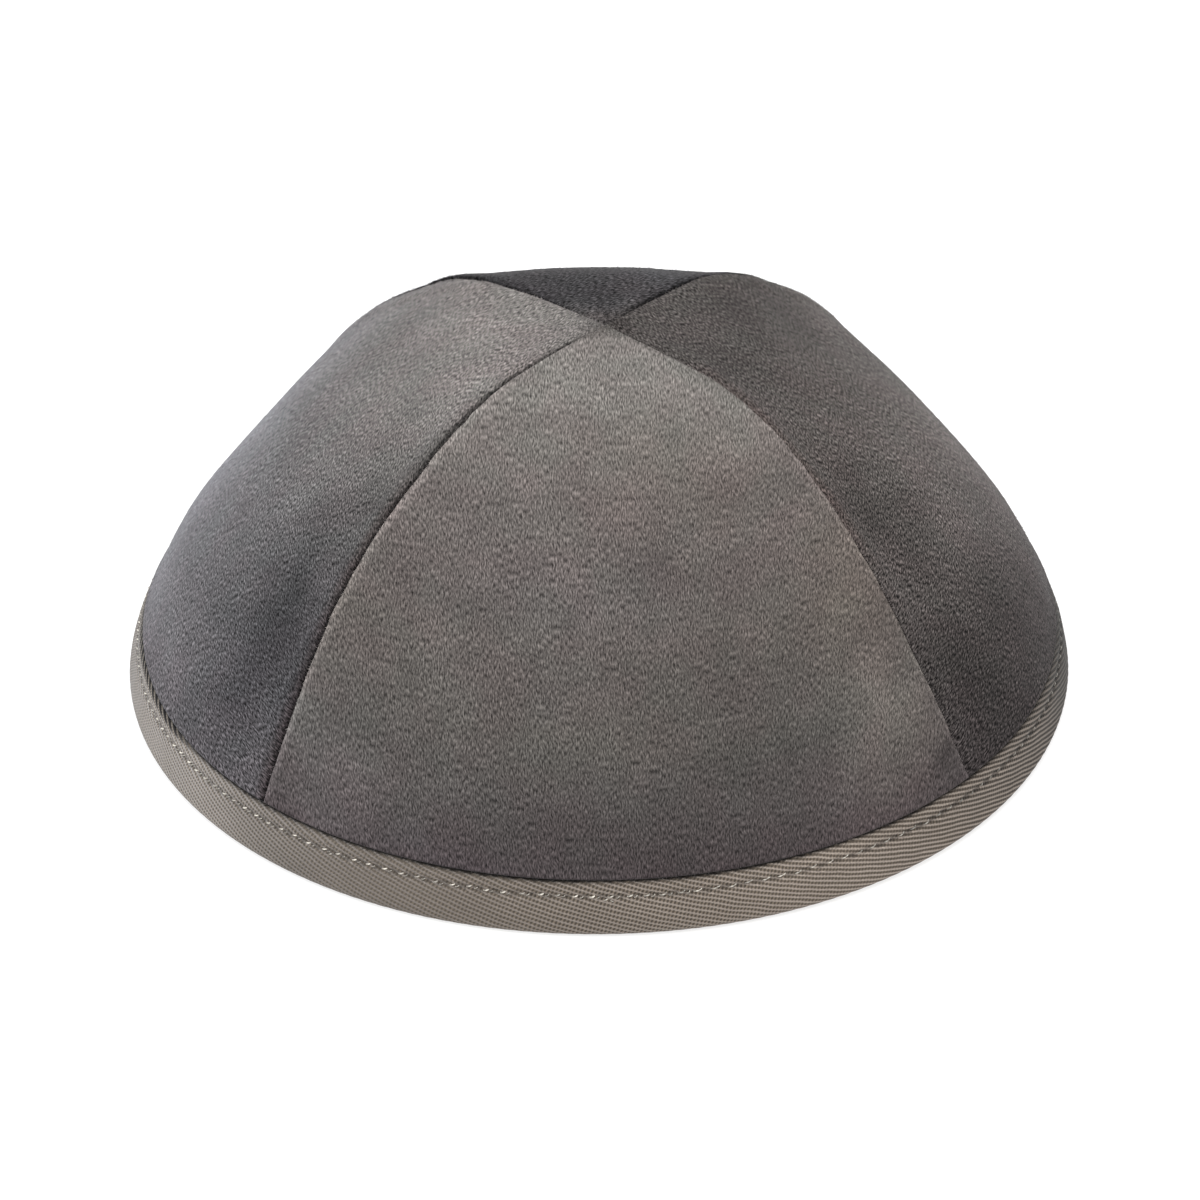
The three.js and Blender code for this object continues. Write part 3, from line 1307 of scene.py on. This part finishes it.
        spot = np.repeat(coat.spot[row, column][:, None, :], 4, axis=1)
        cloth[:, :, 0] += chance.uniform(-0.25, 0.25, (count, 1))
        spot[:, 3, 2] = 1.0
        spot[:, :, 0] = np.sign(spot[:, :, 0]) * np.maximum(np.abs(spot[:, :, 0]), 0.5)
        numbers = draft.add_points(ring, cloth=cloth, spot=spot, nap=nap)
        for corner in ((0, 1, 3), (1, 2, 3), (2, 0, 3), (0, 2, 1)):
            draft.add_faces(numbers[:, corner])

    def raise_pile(self, draft: MeshDraft, coat: PileCoat) -> None:
        """Raises fibres along the seams, round the tip and loosely over the whole panel.

        Args:
            draft: the mesh to add to.
            coat: the velvet's face.
        """
        chance = np.random.default_rng(int(self.side.value) + 5)
        rows, columns = coat.points.shape[:2]
        hem = rows - self.bare_rows
        arc = coat.cloth[:, 0, 1]
        reach = np.abs(coat.cloth[:, 0, 0])
        for turned in (False, True):
            row = np.searchsorted(arc, chance.uniform(0.3, arc[hem], self.seam_fibres))
            row = np.clip(row, 1, hem)
            away = np.abs(chance.normal(0.0, 0.5, self.seam_fibres)) + 0.05
            across = coat.cloth[row, ::-1, 0] if turned else coat.cloth[row, :, 0]
            column = np.argmax(np.abs(across - across[:, :1]) > away[:, None], axis=1)
            column = columns - 1 - column if turned else column
            self.grow(draft, coat, np.stack([row, column]), (0.5, 0.5, 0.25, 0.5), 0.6, chance)
        row = chance.integers(1, np.searchsorted(arc, 4.6), self.tip_fibres)
        column = chance.integers(1, columns - 1, self.tip_fibres)
        self.grow(draft, coat, np.stack([row, column]), (0.4, 0.2, 0.0, 0.6), 1.0, chance)
        share = np.cumsum(np.gradient(arc) * reach)
        row = np.searchsorted(share, chance.uniform(0.0, share[hem], self.loose_fibres))
        row = np.clip(row, 1, hem)
        place = chance.uniform(-1.0, 1.0, self.loose_fibres) * reach[row]
        column = np.array([np.searchsorted(coat.cloth[r, :, 0], p) for r, p in zip(row, place)])
        column = np.clip(column, 1, columns - 2)
        self.grow(draft, coat, np.stack([row, column]), (0.15, 0.95, 0.0, 0.2), 1.1, chance)

    def crush_sheen_shade_and_lean(self, across: np.ndarray, along: np.ndarray) -> np.ndarray:
        """Adds up the patches of crushed pile with their painted sheen and shade, and the nap's
        lean.

        Args:
            across: distances from the panel's middle line.
            along: distances from the panel's tip.

        Returns:
            The shade, the coolness and the lean at each place, along a last axis of three.
        """
        drift = Unevenness(int(self.side.value) + 31)
        x = across + drift.at(across / 6.0 + 70.0, along / 6.0) * 3.0
        y = along + drift.at(across / 6.0 + 20.0, along / 6.0 + 9.0) * 3.0
        nap = np.zeros((*across.shape, 3))
        for mark in self.velvet.marks:
            weight = hump(mark.across, mark.wide, x) * hump(mark.along, mark.long, y)
            # Each mark's shade is crushed pile with painted sheen and shade.
            nap[..., 0] += mark.shade * weight
            nap[..., 1] += mark.cool * weight
        lie = self.velvet.lie
        nap[..., 2] = np.clip((lie.lean + lie.fan * across) / LEAN_STEP, -2.0, 2.0)
        return nap

    def build(self) -> MeshDraft:
        """Builds the panel as one closed shell with its fibres.

        Returns:
            The draft of its mesh.
        """
        angles = self.angles()
        outer = self.profile(0.0)
        points, edge, azimuth, angle = self.sheet(outer, angles)
        reach = np.linalg.norm(points[..., :2], axis=-1)
        across = reach * np.sin(np.radians(angle))
        along = np.broadcast_to(outer.along[:, None], across.shape)
        hem = float(outer.along[-len(self.hem_rows)])
        own = self.normals(points)
        ridge_way = self.seam_facing(outer, azimuth)
        share = ease(0.0, 3.5, edge)[..., None]
        way = own * share + ridge_way * (1.0 - share)
        way /= np.linalg.norm(way, axis=-1, keepdims=True)
        raised = points + way * self.relief(across, along, edge, hem)[..., None]
        signed = np.where(angle < 0.0, -1.0, 1.0) * np.maximum(edge, 1e-3)
        height = raised[..., 2]
        cloth = np.stack([across, along, np.zeros_like(along)], axis=-1)
        spot = np.stack([signed, height, np.zeros_like(along)], axis=-1)
        nap = self.crush_sheen_shade_and_lean(across, along)
        draft = MeshDraft()
        face = draft.add_points(raised, cloth=cloth, spot=spot, nap=nap)
        every = slice(None, None, self.coarse)
        inner = PanelProfile(*(rows[every] for rows in self.profile(self.form.panel_wall)))
        back = draft.add_points(
            self.sheet(inner, angles[every])[0],
            cloth=cloth[every, every],
            spot=spot[every, every],
            nap=nap[every, every],
        )
        draft.add_sheet(face)
        draft.add_sheet(back, 1, turned=True)
        draft.add_edging(face[:, 0], back[:, 0], 0, turned=True)
        draft.add_edging(face[:, -1], back[:, -1], 0, turned=False)
        draft.add_edging(face[0, :], back[0, :], 0, turned=False)
        draft.add_edging(face[-1, :], back[-1, :], 0, turned=True)
        self.raise_pile(draft, PileCoat(raised, way, cloth, spot, nap))
        return draft

    def dress(self) -> bpy.types.Object:
        """Writes the panel's mesh in its finishes and sets it in place of its solid.

        Returns:
            The panel's object.
        """
        finishes = [self.velvet.material(), self.backing.material()]
        piece = self.build().build(f"velvet_{self.side.name.lower()}", finishes)
        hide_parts(self.side.node)
        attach(piece, "root")
        return piece


@dataclass
class RimTape:
    """The twill tape, folded over the hem of the panels all round the rim."""

    form: CapForm
    finish: TwillFinish
    columns: int = 720
    leg_rows: int = 58
    inner_rows: int = 22
    fold_rows: int = 7
    bend: float = 1.4
    rib_depth: float = 0.07
    stitch_dent: float = 0.22

    def leg(self, heights: Sequence[float], depths: Sequence[float]) -> list[tuple[float, float]]:
        """Lays places on a leg of the tape, at heights and at depths below its outer face."""
        reach = self.form.tape_reach(np.array(heights)) - np.array(depths)
        return [(float(away), float(height)) for away, height in zip(reach, heights)]

    def fold(self, middle: float, way: float, turns: Sequence[float]) -> list[tuple[float, float]]:
        """Lays places round one side of the fold.

        Args:
            middle: the reach of the bend's middle.
            way: 1 on the outside and -1 on the inside.
            turns: angles below level, in degrees.

        Returns:
            Reaches and heights.
        """
        rise = self.form.fold_height
        bends = [(math.cos(math.radians(turn)), math.sin(math.radians(turn))) for turn in turns]
        return [(middle + way * self.bend * across, rise - rise * down) for across, down in bends]

    def section(self) -> tuple[np.ndarray, np.ndarray, np.ndarray]:
        """Works out the tape's section, from the upper edge of its outer leg round to the start.

        Returns:
            Reaches and heights, and the distance down the tape from its upper edge.
        """
        form = self.form
        inner = form.tape_wall + 2.0 * form.gap + form.panel_wall
        back = inner + form.tape_wall
        outside, inside = form.rim_radius, form.rim_radius - back
        top, wall = form.tape_top, form.tape_wall
        crest = (top - 0.2, top - 0.04, top + 0.04, top + 0.04, top - 0.04)
        spots = self.leg(crest, (wall, 0.85, 0.6, 0.38, 0.14))
        start = len(spots)
        turns = np.linspace(12.0, 90.0, self.fold_rows)
        heights = np.linspace(top - 0.18, form.fold_height, self.leg_rows)
        spots += self.leg(heights, np.zeros_like(heights))
        spots += self.fold(outside - self.bend, 1.0, turns)
        spots += [(outside - 2.0, 0.0), (inside + 2.0, 0.0)]
        spots += self.fold(inside + self.bend, -1.0, turns[::-1])
        heights = np.linspace(form.fold_height, top - 0.18, self.inner_rows)
        spots += self.leg(heights, np.full_like(heights, back))
        spots += self.leg((top - 0.04, top, top - 0.1), (back - 0.14, back - 0.5, inner + 0.04))
        spots += self.leg((5.4, 1.0, 1.0, 5.4), (inner, inner, wall, wall))
        reach, height = np.array(spots).T
        steps = np.hypot(np.diff(reach), np.diff(height))
        down = np.concatenate([[0.0], np.cumsum(steps)])
        return reach, height, down - down[start]

    def relief(self, along: np.ndarray, down: np.ndarray, seen: np.ndarray) -> np.ndarray:
        """Works out how far the tape stands out from its smooth face.

        Args:
            along: distances along the tape.
            down: distances from its upper edge.
            seen: 1 where the tape can be seen and 0 between its legs.

        Returns:
            The relief in millimetres.
        """
        finish = self.finish
        rib = np.abs(np.sin(np.pi * finish.rib(along, down))) - 1.0
        needle = (along - finish.stitch_start) / finish.stitch_pitch
        away = np.abs(needle - np.round(needle))
        row = hump(finish.stitch_line, 0.5, down)
        dent = -self.stitch_dent * row * (0.5 + 0.5 * ease(0.14, 0.36, away))
        below = 0.08 * hump(3.4, 0.9, down) * (1.0 - ease(0.2, 0.5, away) * 0.5)
        swell = 0.12 * hump(0.9, 0.7, down) + below
        slack = Unevenness(91).at(along / 13.0, down / 8.0 + 9.0) * 0.14
        slack = slack * ease(9.0, 6.0, down) * ease(-1.5, 0.5, down)
        flat = 1.0 - hump(11.2, 1.6, down)
        return seen * (rib * self.rib_depth * (0.3 + 0.7 * flat) + dent + swell + slack)

    def toned(self, along: np.ndarray) -> np.ndarray:
        """Adds up the stretches of the tape with painted light and shade, cool light and another
        weave.

        Args:
            along: distances along the tape.

        Returns:
            The shade, the coolness and the weave at each distance, along a last axis of three.
        """
        girth = self.form.tape_girth
        tone = np.zeros((len(along), 3))
        for mark in self.finish.marks:
            away = np.mod(along - mark.along + girth / 2.0, girth) - girth / 2.0
            look = np.array([mark.shade, mark.cool, mark.weave])
            tone += hump(0.0, mark.long, away)[:, None] * look
        return tone

    def build(self) -> MeshDraft:
        """Builds the tape as one closed ring.

        Returns:
            The draft of its mesh.
        """
        reach, height, down = self.section()
        azimuth = np.arange(self.columns) * 360.0 / self.columns
        along = azimuth / 360.0 * self.form.tape_girth
        run = np.roll(reach, -1) - np.roll(reach, 1)
        climb = np.roll(height, -1) - np.roll(height, 1)
        length = np.hypot(run, climb)
        seen = np.ones_like(down)
        seen[-4:] = 0.0
        seen[0] = 0.0
        relief = self.relief(along[None, :], down[:, None], seen[:, None])
        level_line = np.zeros_like(along)
        waver = Unevenness(92).at(along / 7.0, level_line) * 0.1
        waver = waver + Unevenness(93).at(along / 1.7, level_line) * 0.07
        top = ease(1.4, -0.6, down)[:, None] * waver[None, :]
        full = reach[:, None] - (climb / length)[:, None] * relief
        level = np.maximum(height[:, None] + (run / length)[:, None] * relief + top, 0.0)
        points = self.form.lay(full, azimuth[None, :], level, np.ones((1, 1)))
        shape = points.shape[:2]
        places = [np.broadcast_to(place, shape) for place in (along, down[:, None], 0.0)]
        draft = MeshDraft()
        grid = draft.add_points(points, tape=np.stack(places, axis=-1), tone=self.toned(along))
        ring = np.concatenate([grid, grid[:1]])
        draft.add_sheet(np.concatenate([ring, ring[:, :1]], axis=1))
        return draft

    def dress(self) -> bpy.types.Object:
        """Writes the tape's mesh in its finish and sets it in place of its solid.

        Returns:
            The tape's object.
        """
        piece = self.build().build("twill_rim_tape", [self.finish.material()])
        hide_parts("rim_binding")
        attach(piece, "root")
        return piece


class Stitch(NamedTuple):
    """A length of thread: its middle along and below the tape's edge, the span and climb of its
    slanting run, its lift, half its thickness, and its lightness, with a painted highlight and
    painted shade."""

    along: float
    down: float
    span: float
    climb: float
    lift: float
    thread: float
    light: float


@dataclass
class RimStitching:
    """The row of thread that sews the tape through the hem, a stitch at a time."""

    form: CapForm
    tape: RimTape
    finish: ThreadFinish
    tight_span: float = 0.9
    long_span: float = 1.7
    sunk_span: float = 0.9
    dive: float = 0.4
    rings: int = 8
    around: int = 6
    finishing_off: tuple[Stitch, ...] = (
        Stitch(344.6, 2.6, 0.8, 0.3, 0.03, 0.11, 0.7),
        Stitch(348.6, 2.75, 0.8, 0.35, 0.03, 0.11, 0.7),
        Stitch(392.6, 2.9, 1.3, -0.6, 0.03, 0.08, 0.5),
        Stitch(391.5, 2.7, 0.8, 0.3, 0.03, 0.11, 0.8),
    )

    def row(self) -> list[Stitch]:
        """Works out the row, drawn tight on one side of the rim and long on the other.

        Returns:
            The stitches, with the small loops beside the tight ones and those that end the row.
        """
        finish = self.tape.finish
        chance = np.random.default_rng(17)
        stitches = list(self.finishing_off)
        for number in range(round(self.form.tape_girth / finish.stitch_pitch)):
            along = finish.stitch_start + number * finish.stitch_pitch + chance.normal(0.0, 0.1)
            azimuth = along / self.form.tape_girth * 360.0
            long = float(ease(268.0, 280.0, azimuth) + ease(150.0, 120.0, azimuth))
            sunk = float(ease(296.0, 318.0, azimuth) + ease(60.0, 20.0, azimuth))
            span = self.tight_span + (self.long_span - self.tight_span) * long
            span = (span + (self.sunk_span - span) * sunk) * chance.uniform(0.88, 1.08)
            down = finish.stitch_line + chance.normal(0.0, 0.08)
            lift = 0.1 - 0.05 * long - 0.06 * sunk
            climb = 0.22 * span + 0.05
            # Painted highlight on the tight stitches of the front and left, painted shade on the
            # long and sunk ones round the right, with a random spread.
            light = (1.1 - 0.25 * long - 0.42 * sunk) * chance.uniform(0.5, 1.12)
            thread = (0.14 - 0.04 * long) * chance.uniform(0.85, 1.1)
            stitches.append(Stitch(along, down, span, climb, lift, thread, light))
            if long < 0.7:
                loop = along + 0.95 + chance.normal(0.0, 0.12)
                light = chance.uniform(0.45, 0.85)
                stitches.append(Stitch(loop, down + 0.2, 0.6, 0.22, -0.05 * long, 0.095, light))
        return stitches

    def thread_rings(self, stitch: Stitch) -> np.ndarray:
        """Lays one stitch on the tape.

        Args:
            stitch: the stitch's place and sizes.

        Returns:
            Its rings of points.
        """
        share = np.linspace(0.0, 1.0, self.rings)
        azimuth = (stitch.along + (share - 0.5) * stitch.span) / self.form.tape_girth * 360.0
        height = 9.4 - (stitch.down + (0.5 - share) * stitch.climb) * 0.955
        level = np.ones_like(share)
        arch = np.sin(np.pi * share) ** 0.45
        reach = self.form.tape_reach(height) - self.dive + (stitch.lift + self.dive) * arch
        centre = self.form.lay(reach, azimuth, height, level)
        outward = self.form.lay(reach + 1.0, azimuth, height, level) - centre
        outward /= np.linalg.norm(outward, axis=1, keepdims=True)
        run = np.gradient(centre, axis=0)
        run /= np.linalg.norm(run, axis=1, keepdims=True)
        beside = np.cross(run, outward)
        beside /= np.linalg.norm(beside, axis=1, keepdims=True)
        raised = np.cross(beside, run)
        turn = np.linspace(0.0, 2.0 * math.pi, self.around, endpoint=False)[None, :, None]
        size = stitch.thread * (0.75 + 0.25 * np.sin(np.pi * share))[:, None, None]
        rim = beside[:, None, :] * np.cos(turn) + raised[:, None, :] * np.sin(turn)
        return centre[:, None, :] + rim * size

    def build(self) -> MeshDraft:
        """Builds every stitch as a short closed thread.

        Returns:
            The draft of the whole row.
        """
        draft = MeshDraft()
        turn = np.linspace(0.0, 2.0 * math.pi, self.around, endpoint=False)
        for stitch in self.row():
            rings = self.thread_rings(stitch)
            shape = rings.shape[:2]
            run = np.linspace(0.0, stitch.span, self.rings)[:, None]
            places = [np.broadcast_to(place, shape) for place in (run, turn, stitch.light)]
            grid = draft.add_points(rings, ply=np.stack(places, axis=-1))
            draft.add_sheet(np.concatenate([grid, grid[:, :1]], axis=1), turned=True)
            draft.add_faces(grid[:1, :])
            draft.add_faces(grid[-1:, ::-1])
        return draft

    def dress(self) -> bpy.types.Object:
        """Writes the stitches as one mesh that rides with the cap.

        Returns:
            The stitches' object.
        """
        piece = self.build().build("rim_stitches", [self.finish.material()])
        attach(piece, "root")
        return piece


class Lamp(NamedTuple):
    """One soft studio lamp: its name, place and size in metres, power in watts, and colour."""

    name: str
    place: tuple[float, float, float]
    size: float
    power: float
    colour: Colour


@dataclass
class Studio:
    """The plain floor, soft light and camera that the cap is shown with."""

    floor: FloorFinish
    distance: float = 785.3
    elevation: float = 33.913
    turn: float = 0.508
    roll: float = 0.737
    focal_pixels: float = 4326.4
    target: tuple[float, float] = (-0.163, 10.866)
    surround: float = 0.8
    floor_size: float = 6.0
    sensor: float = 36.0
    lamp_aim: tuple[float, float, float] = (0.0, 0.0, 0.03)
    lamps: tuple[Lamp, ...] = (
        Lamp("key_lamp", (-1.0, -0.45, 0.95), 1.1, 9.5, (0.92, 0.97, 1.0)),
        Lamp("fill_lamp", (0.7, -1.0, 0.9), 1.3, 6.5, (1.0, 0.97, 0.94)),
        Lamp("top_lamp", (0.05, 0.2, 1.5), 1.5, 12.0, (1.0, 1.0, 1.0)),
    )

    def lay_floor(self) -> None:
        """Lays a wide floor at height 0."""
        bpy.ops.mesh.primitive_plane_add(size=self.floor_size, location=(0.0, 0.0, 0.0))
        floor = bpy.context.active_object
        floor.name = "floor"
        floor.data.materials.append(self.floor.material())

    def light(self) -> None:
        """Sets up the lamps and the pale surround."""
        world = bpy.data.worlds.new("pale_surround")
        world.use_nodes = True
        background = world.node_tree.nodes["Background"]
        background.inputs["Color"].default_value = (*WHITE, 1.0)
        background.inputs["Strength"].default_value = self.surround
        bpy.context.scene.world = world
        for lamp in self.lamps:
            data = bpy.data.lights.new(lamp.name, "AREA")
            data.shape = "DISK"
            data.size = lamp.size
            data.energy = lamp.power
            data.color = lamp.colour
            made = bpy.data.objects.new(lamp.name, data)
            made.location = lamp.place
            aim = Vector(self.lamp_aim) - Vector(lamp.place)
            made.rotation_euler = aim.to_track_quat("-Z", "Y").to_euler()
            bpy.context.scene.collection.objects.link(made)

    def place_camera(self) -> None:
        """Places the camera where the photograph was taken from."""
        data = bpy.data.cameras.new("camera")
        data.sensor_width = self.sensor
        data.lens = self.focal_pixels / PHOTO_SIDE * self.sensor
        data.clip_start = 0.05
        camera = bpy.data.objects.new("camera", data)
        lift, turn = math.radians(self.elevation), math.radians(self.turn)
        side, height = self.target
        back = self.distance * math.cos(lift)
        x = side * math.cos(turn) - back * math.sin(turn)
        y = -side * math.sin(turn) - back * math.cos(turn)
        spot = Vector((x, y, height + self.distance * math.sin(lift))) * MM
        look = Vector((side * math.cos(turn), -side * math.sin(turn), height)) * MM
        aim = (look - spot).to_track_quat("-Z", "Y").to_matrix()
        aim = aim @ Matrix.Rotation(math.radians(self.roll), 3, "Z")
        camera.matrix_world = Matrix.Translation(spot) @ aim.to_4x4()
        bpy.context.scene.collection.objects.link(camera)
        bpy.context.scene.camera = camera

    def set_up(self) -> None:
        """Sets up the whole studio, with plain colour handling."""
        self.place_camera()
        self.lay_floor()
        self.light()
        settings = bpy.context.scene.view_settings
        settings.view_transform = "Standard"
        settings.look = "None"
        settings.exposure = 0.0


# Lit and shaded copies of one velvet: each panel's colours by height, marks and seam edges carry
# painted light and shade beside the nap's real lie.
VELVETS = {
    PanelSide.FRONT: VelvetFinish(
        name="velvet_front",
        painted_shade_tones=(
            (0.14, (0.05, 0.042, 0.043)),
            (0.39, (0.07, 0.066, 0.062)),
            (0.61, (0.088, 0.0785, 0.0715)),
            (0.83, (0.093, 0.083, 0.078)),
            (0.96, (0.143, 0.1345, 0.1245)),
        ),
        marks=(
            CrushSheenShadeMark(0.0, 26.0, 24.0, 5.0, -0.12),
            CrushSheenShadeMark(-12.0, 43.0, 20.0, 8.0, 0.14),
            CrushSheenShadeMark(12.0, 38.0, 18.0, 13.0, 0.0, -0.4),
            CrushSheenShadeMark(-10.0, 61.0, 28.0, 13.0, 0.0, 0.4),
            CrushSheenShadeMark(6.0, 56.0, 9.0, 6.0, -0.17),
            CrushSheenShadeMark(-26.0, 65.0, 8.0, 6.0, -0.08),
            CrushSheenShadeMark(38.0, 60.0, 7.0, 15.0, 0.08, -0.5),
            CrushSheenShadeMark(45.0, 91.0, 9.0, 14.0, 0.5, -0.55),
            CrushSheenShadeMark(18.0, 75.0, 12.0, 8.0, -0.13),
            CrushSheenShadeMark(0.0, 86.0, 30.0, 6.0, -0.04, -0.35),
            CrushSheenShadeMark(18.0, 92.0, 12.0, 8.0, -0.13),
            CrushSheenShadeMark(-15.0, 98.0, 10.0, 5.0, -0.08),
            CrushSheenShadeMark(4.0, 104.0, 24.0, 4.0, -0.12),
            CrushSheenShadeMark(54.0, 97.0, 3.0, 3.0, -0.35),
            CrushSheenShadeMark(-50.0, 98.0, 9.0, 14.0, 0.36, 0.15),
            CrushSheenShadeMark(-28.0, 106.0, 12.0, 6.0, 0.12, 0.4),
        ),
        low_edge=EdgeLook(0.2, 1.05, 1.8, 1.0, 0.35),
        high_edge=EdgeLook(0.0, 0.5, 1.4, 1.0, 0.14),
        lie=NapLie(3.0, 0.15),
        seed=1.0,
    ),
    PanelSide.RIGHT: VelvetFinish(
        name="velvet_right",
        painted_shade_tones=(
            (0.14, (0.031, 0.027, 0.027)),
            (0.39, (0.055, 0.049, 0.047)),
            (0.61, (0.081, 0.073, 0.069)),
            (0.83, (0.067, 0.06, 0.056)),
            (0.96, (0.056, 0.051, 0.048)),
        ),
        marks=(
            CrushSheenShadeMark(9.0, 26.0, 8.0, 8.0, -0.2),
            CrushSheenShadeMark(-12.0, 22.0, 5.0, 7.0, -0.15),
            CrushSheenShadeMark(21.0, 40.0, 9.0, 11.0, -0.3),
            CrushSheenShadeMark(-34.0, 58.0, 12.0, 18.0, -0.45),
            CrushSheenShadeMark(17.0, 63.0, 12.0, 8.0, -0.18),
            CrushSheenShadeMark(-47.0, 90.0, 9.0, 18.0, -0.46),
            CrushSheenShadeMark(-27.0, 93.0, 12.0, 12.0, -0.3),
            CrushSheenShadeMark(-28.0, 106.0, 10.0, 5.0, 0.2),
            CrushSheenShadeMark(-5.0, 92.0, 7.0, 12.0, 0.22),
            # Painted sheen along the right outline.
            CrushSheenShadeMark(22.0, 85.0, 18.0, 25.0, 0.5),
            CrushSheenShadeMark(31.0, 75.0, 11.0, 16.0, -0.48),
        ),
        low_edge=EdgeLook(0.0, 0.0, 1.8, 0.97, 0.1, WarmBand(0.5, 38.0, 28.0, 4.2)),
        high_edge=EdgeLook(0.0, 0.0, 1.0, 0.8, 0.6),
        lie=NapLie(56.0, 0.0),
        seed=21.0,
        grain=2.0,
        sheen=0.12,
    ),
    PanelSide.BACK: VelvetFinish(
        name="velvet_back",
        painted_shade_tones=(
            (0.14, (0.055, 0.05, 0.05)),
            (0.39, (0.085, 0.078, 0.076)),
            (0.61, (0.09, 0.083, 0.083)),
            (0.86, (0.032, 0.031, 0.034)),
            (0.96, (0.027, 0.026, 0.0275)),
        ),
        marks=(
            CrushSheenShadeMark(0.0, 2.0, 9.0, 5.0, 1.3, -1.2),
            CrushSheenShadeMark(-6.0, 14.0, 5.0, 5.0, 0.2, -0.3),
            CrushSheenShadeMark(-10.0, 22.0, 6.0, 8.0, 0.25, 0.3),
        ),
        low_edge=EdgeLook(-0.5, -0.3, 1.8, 0.3, 0.7),
        high_edge=EdgeLook(-0.3, -0.2, 1.2, 0.8, 0.3),
        lie=NapLie(55.0, 0.0),
        seed=41.0,
        grain=2.4,
        tip_lift=0.4,
        sheen=0.1,
    ),
    PanelSide.LEFT: VelvetFinish(
        name="velvet_left",
        painted_shade_tones=(
            (0.14, (0.074, 0.069, 0.073)),
            (0.39, (0.079, 0.076, 0.079)),
            (0.61, (0.092, 0.089, 0.09)),
            (0.83, (0.122, 0.114, 0.108)),
            (0.96, (0.148, 0.138, 0.13)),
        ),
        marks=(
            CrushSheenShadeMark(-18.0, 40.0, 12.0, 9.0, -0.12),
            # Painted shade in the hollow beside the front seam, down to the rim.
            CrushSheenShadeMark(32.0, 57.0, 10.0, 24.0, -0.4, 0.1),
            CrushSheenShadeMark(38.0, 74.0, 7.0, 8.0, -0.2),
            CrushSheenShadeMark(46.0, 84.0, 12.0, 20.0, -0.5, 0.35),
            # Painted sheen along the left outline.
            CrushSheenShadeMark(-26.0, 84.0, 21.0, 22.0, 0.8, 0.45),
            CrushSheenShadeMark(4.0, 99.0, 26.0, 9.0, 0.34),
        ),
        low_edge=EdgeLook(0.1, 0.0, 1.0, 0.9, 0.3),
        high_edge=EdgeLook(-0.15, -0.4, 4.6, 0.32, 0.8, WarmBand(0.7, 78.0, 45.0, 2.7)),
        lie=NapLie(-48.0, -0.3),
        seed=61.0,
        grain=1.55,
        sheen=0.25,
        sheen_tint=(0.86, 0.9, 0.97),
    ),
}


def main() -> None:
    """Builds the cap's pieces in order and reports each one."""
    logging.basicConfig(level=logging.INFO, format="%(message)s")
    Studio(FloorFinish()).set_up()
    form = CapForm()
    backing = BackingFinish()
    tape = RimTape(form, TwillFinish())
    makers = [VelvetPanel(side, form, VELVETS[side], backing) for side in PanelSide]
    for maker in (*makers, tape, RimStitching(form, tape, ThreadFinish())):
        piece = maker.dress()
        log.info("%s: %d faces", piece.name, len(piece.data.polygons))


if __name__ == "__main__":
    main()
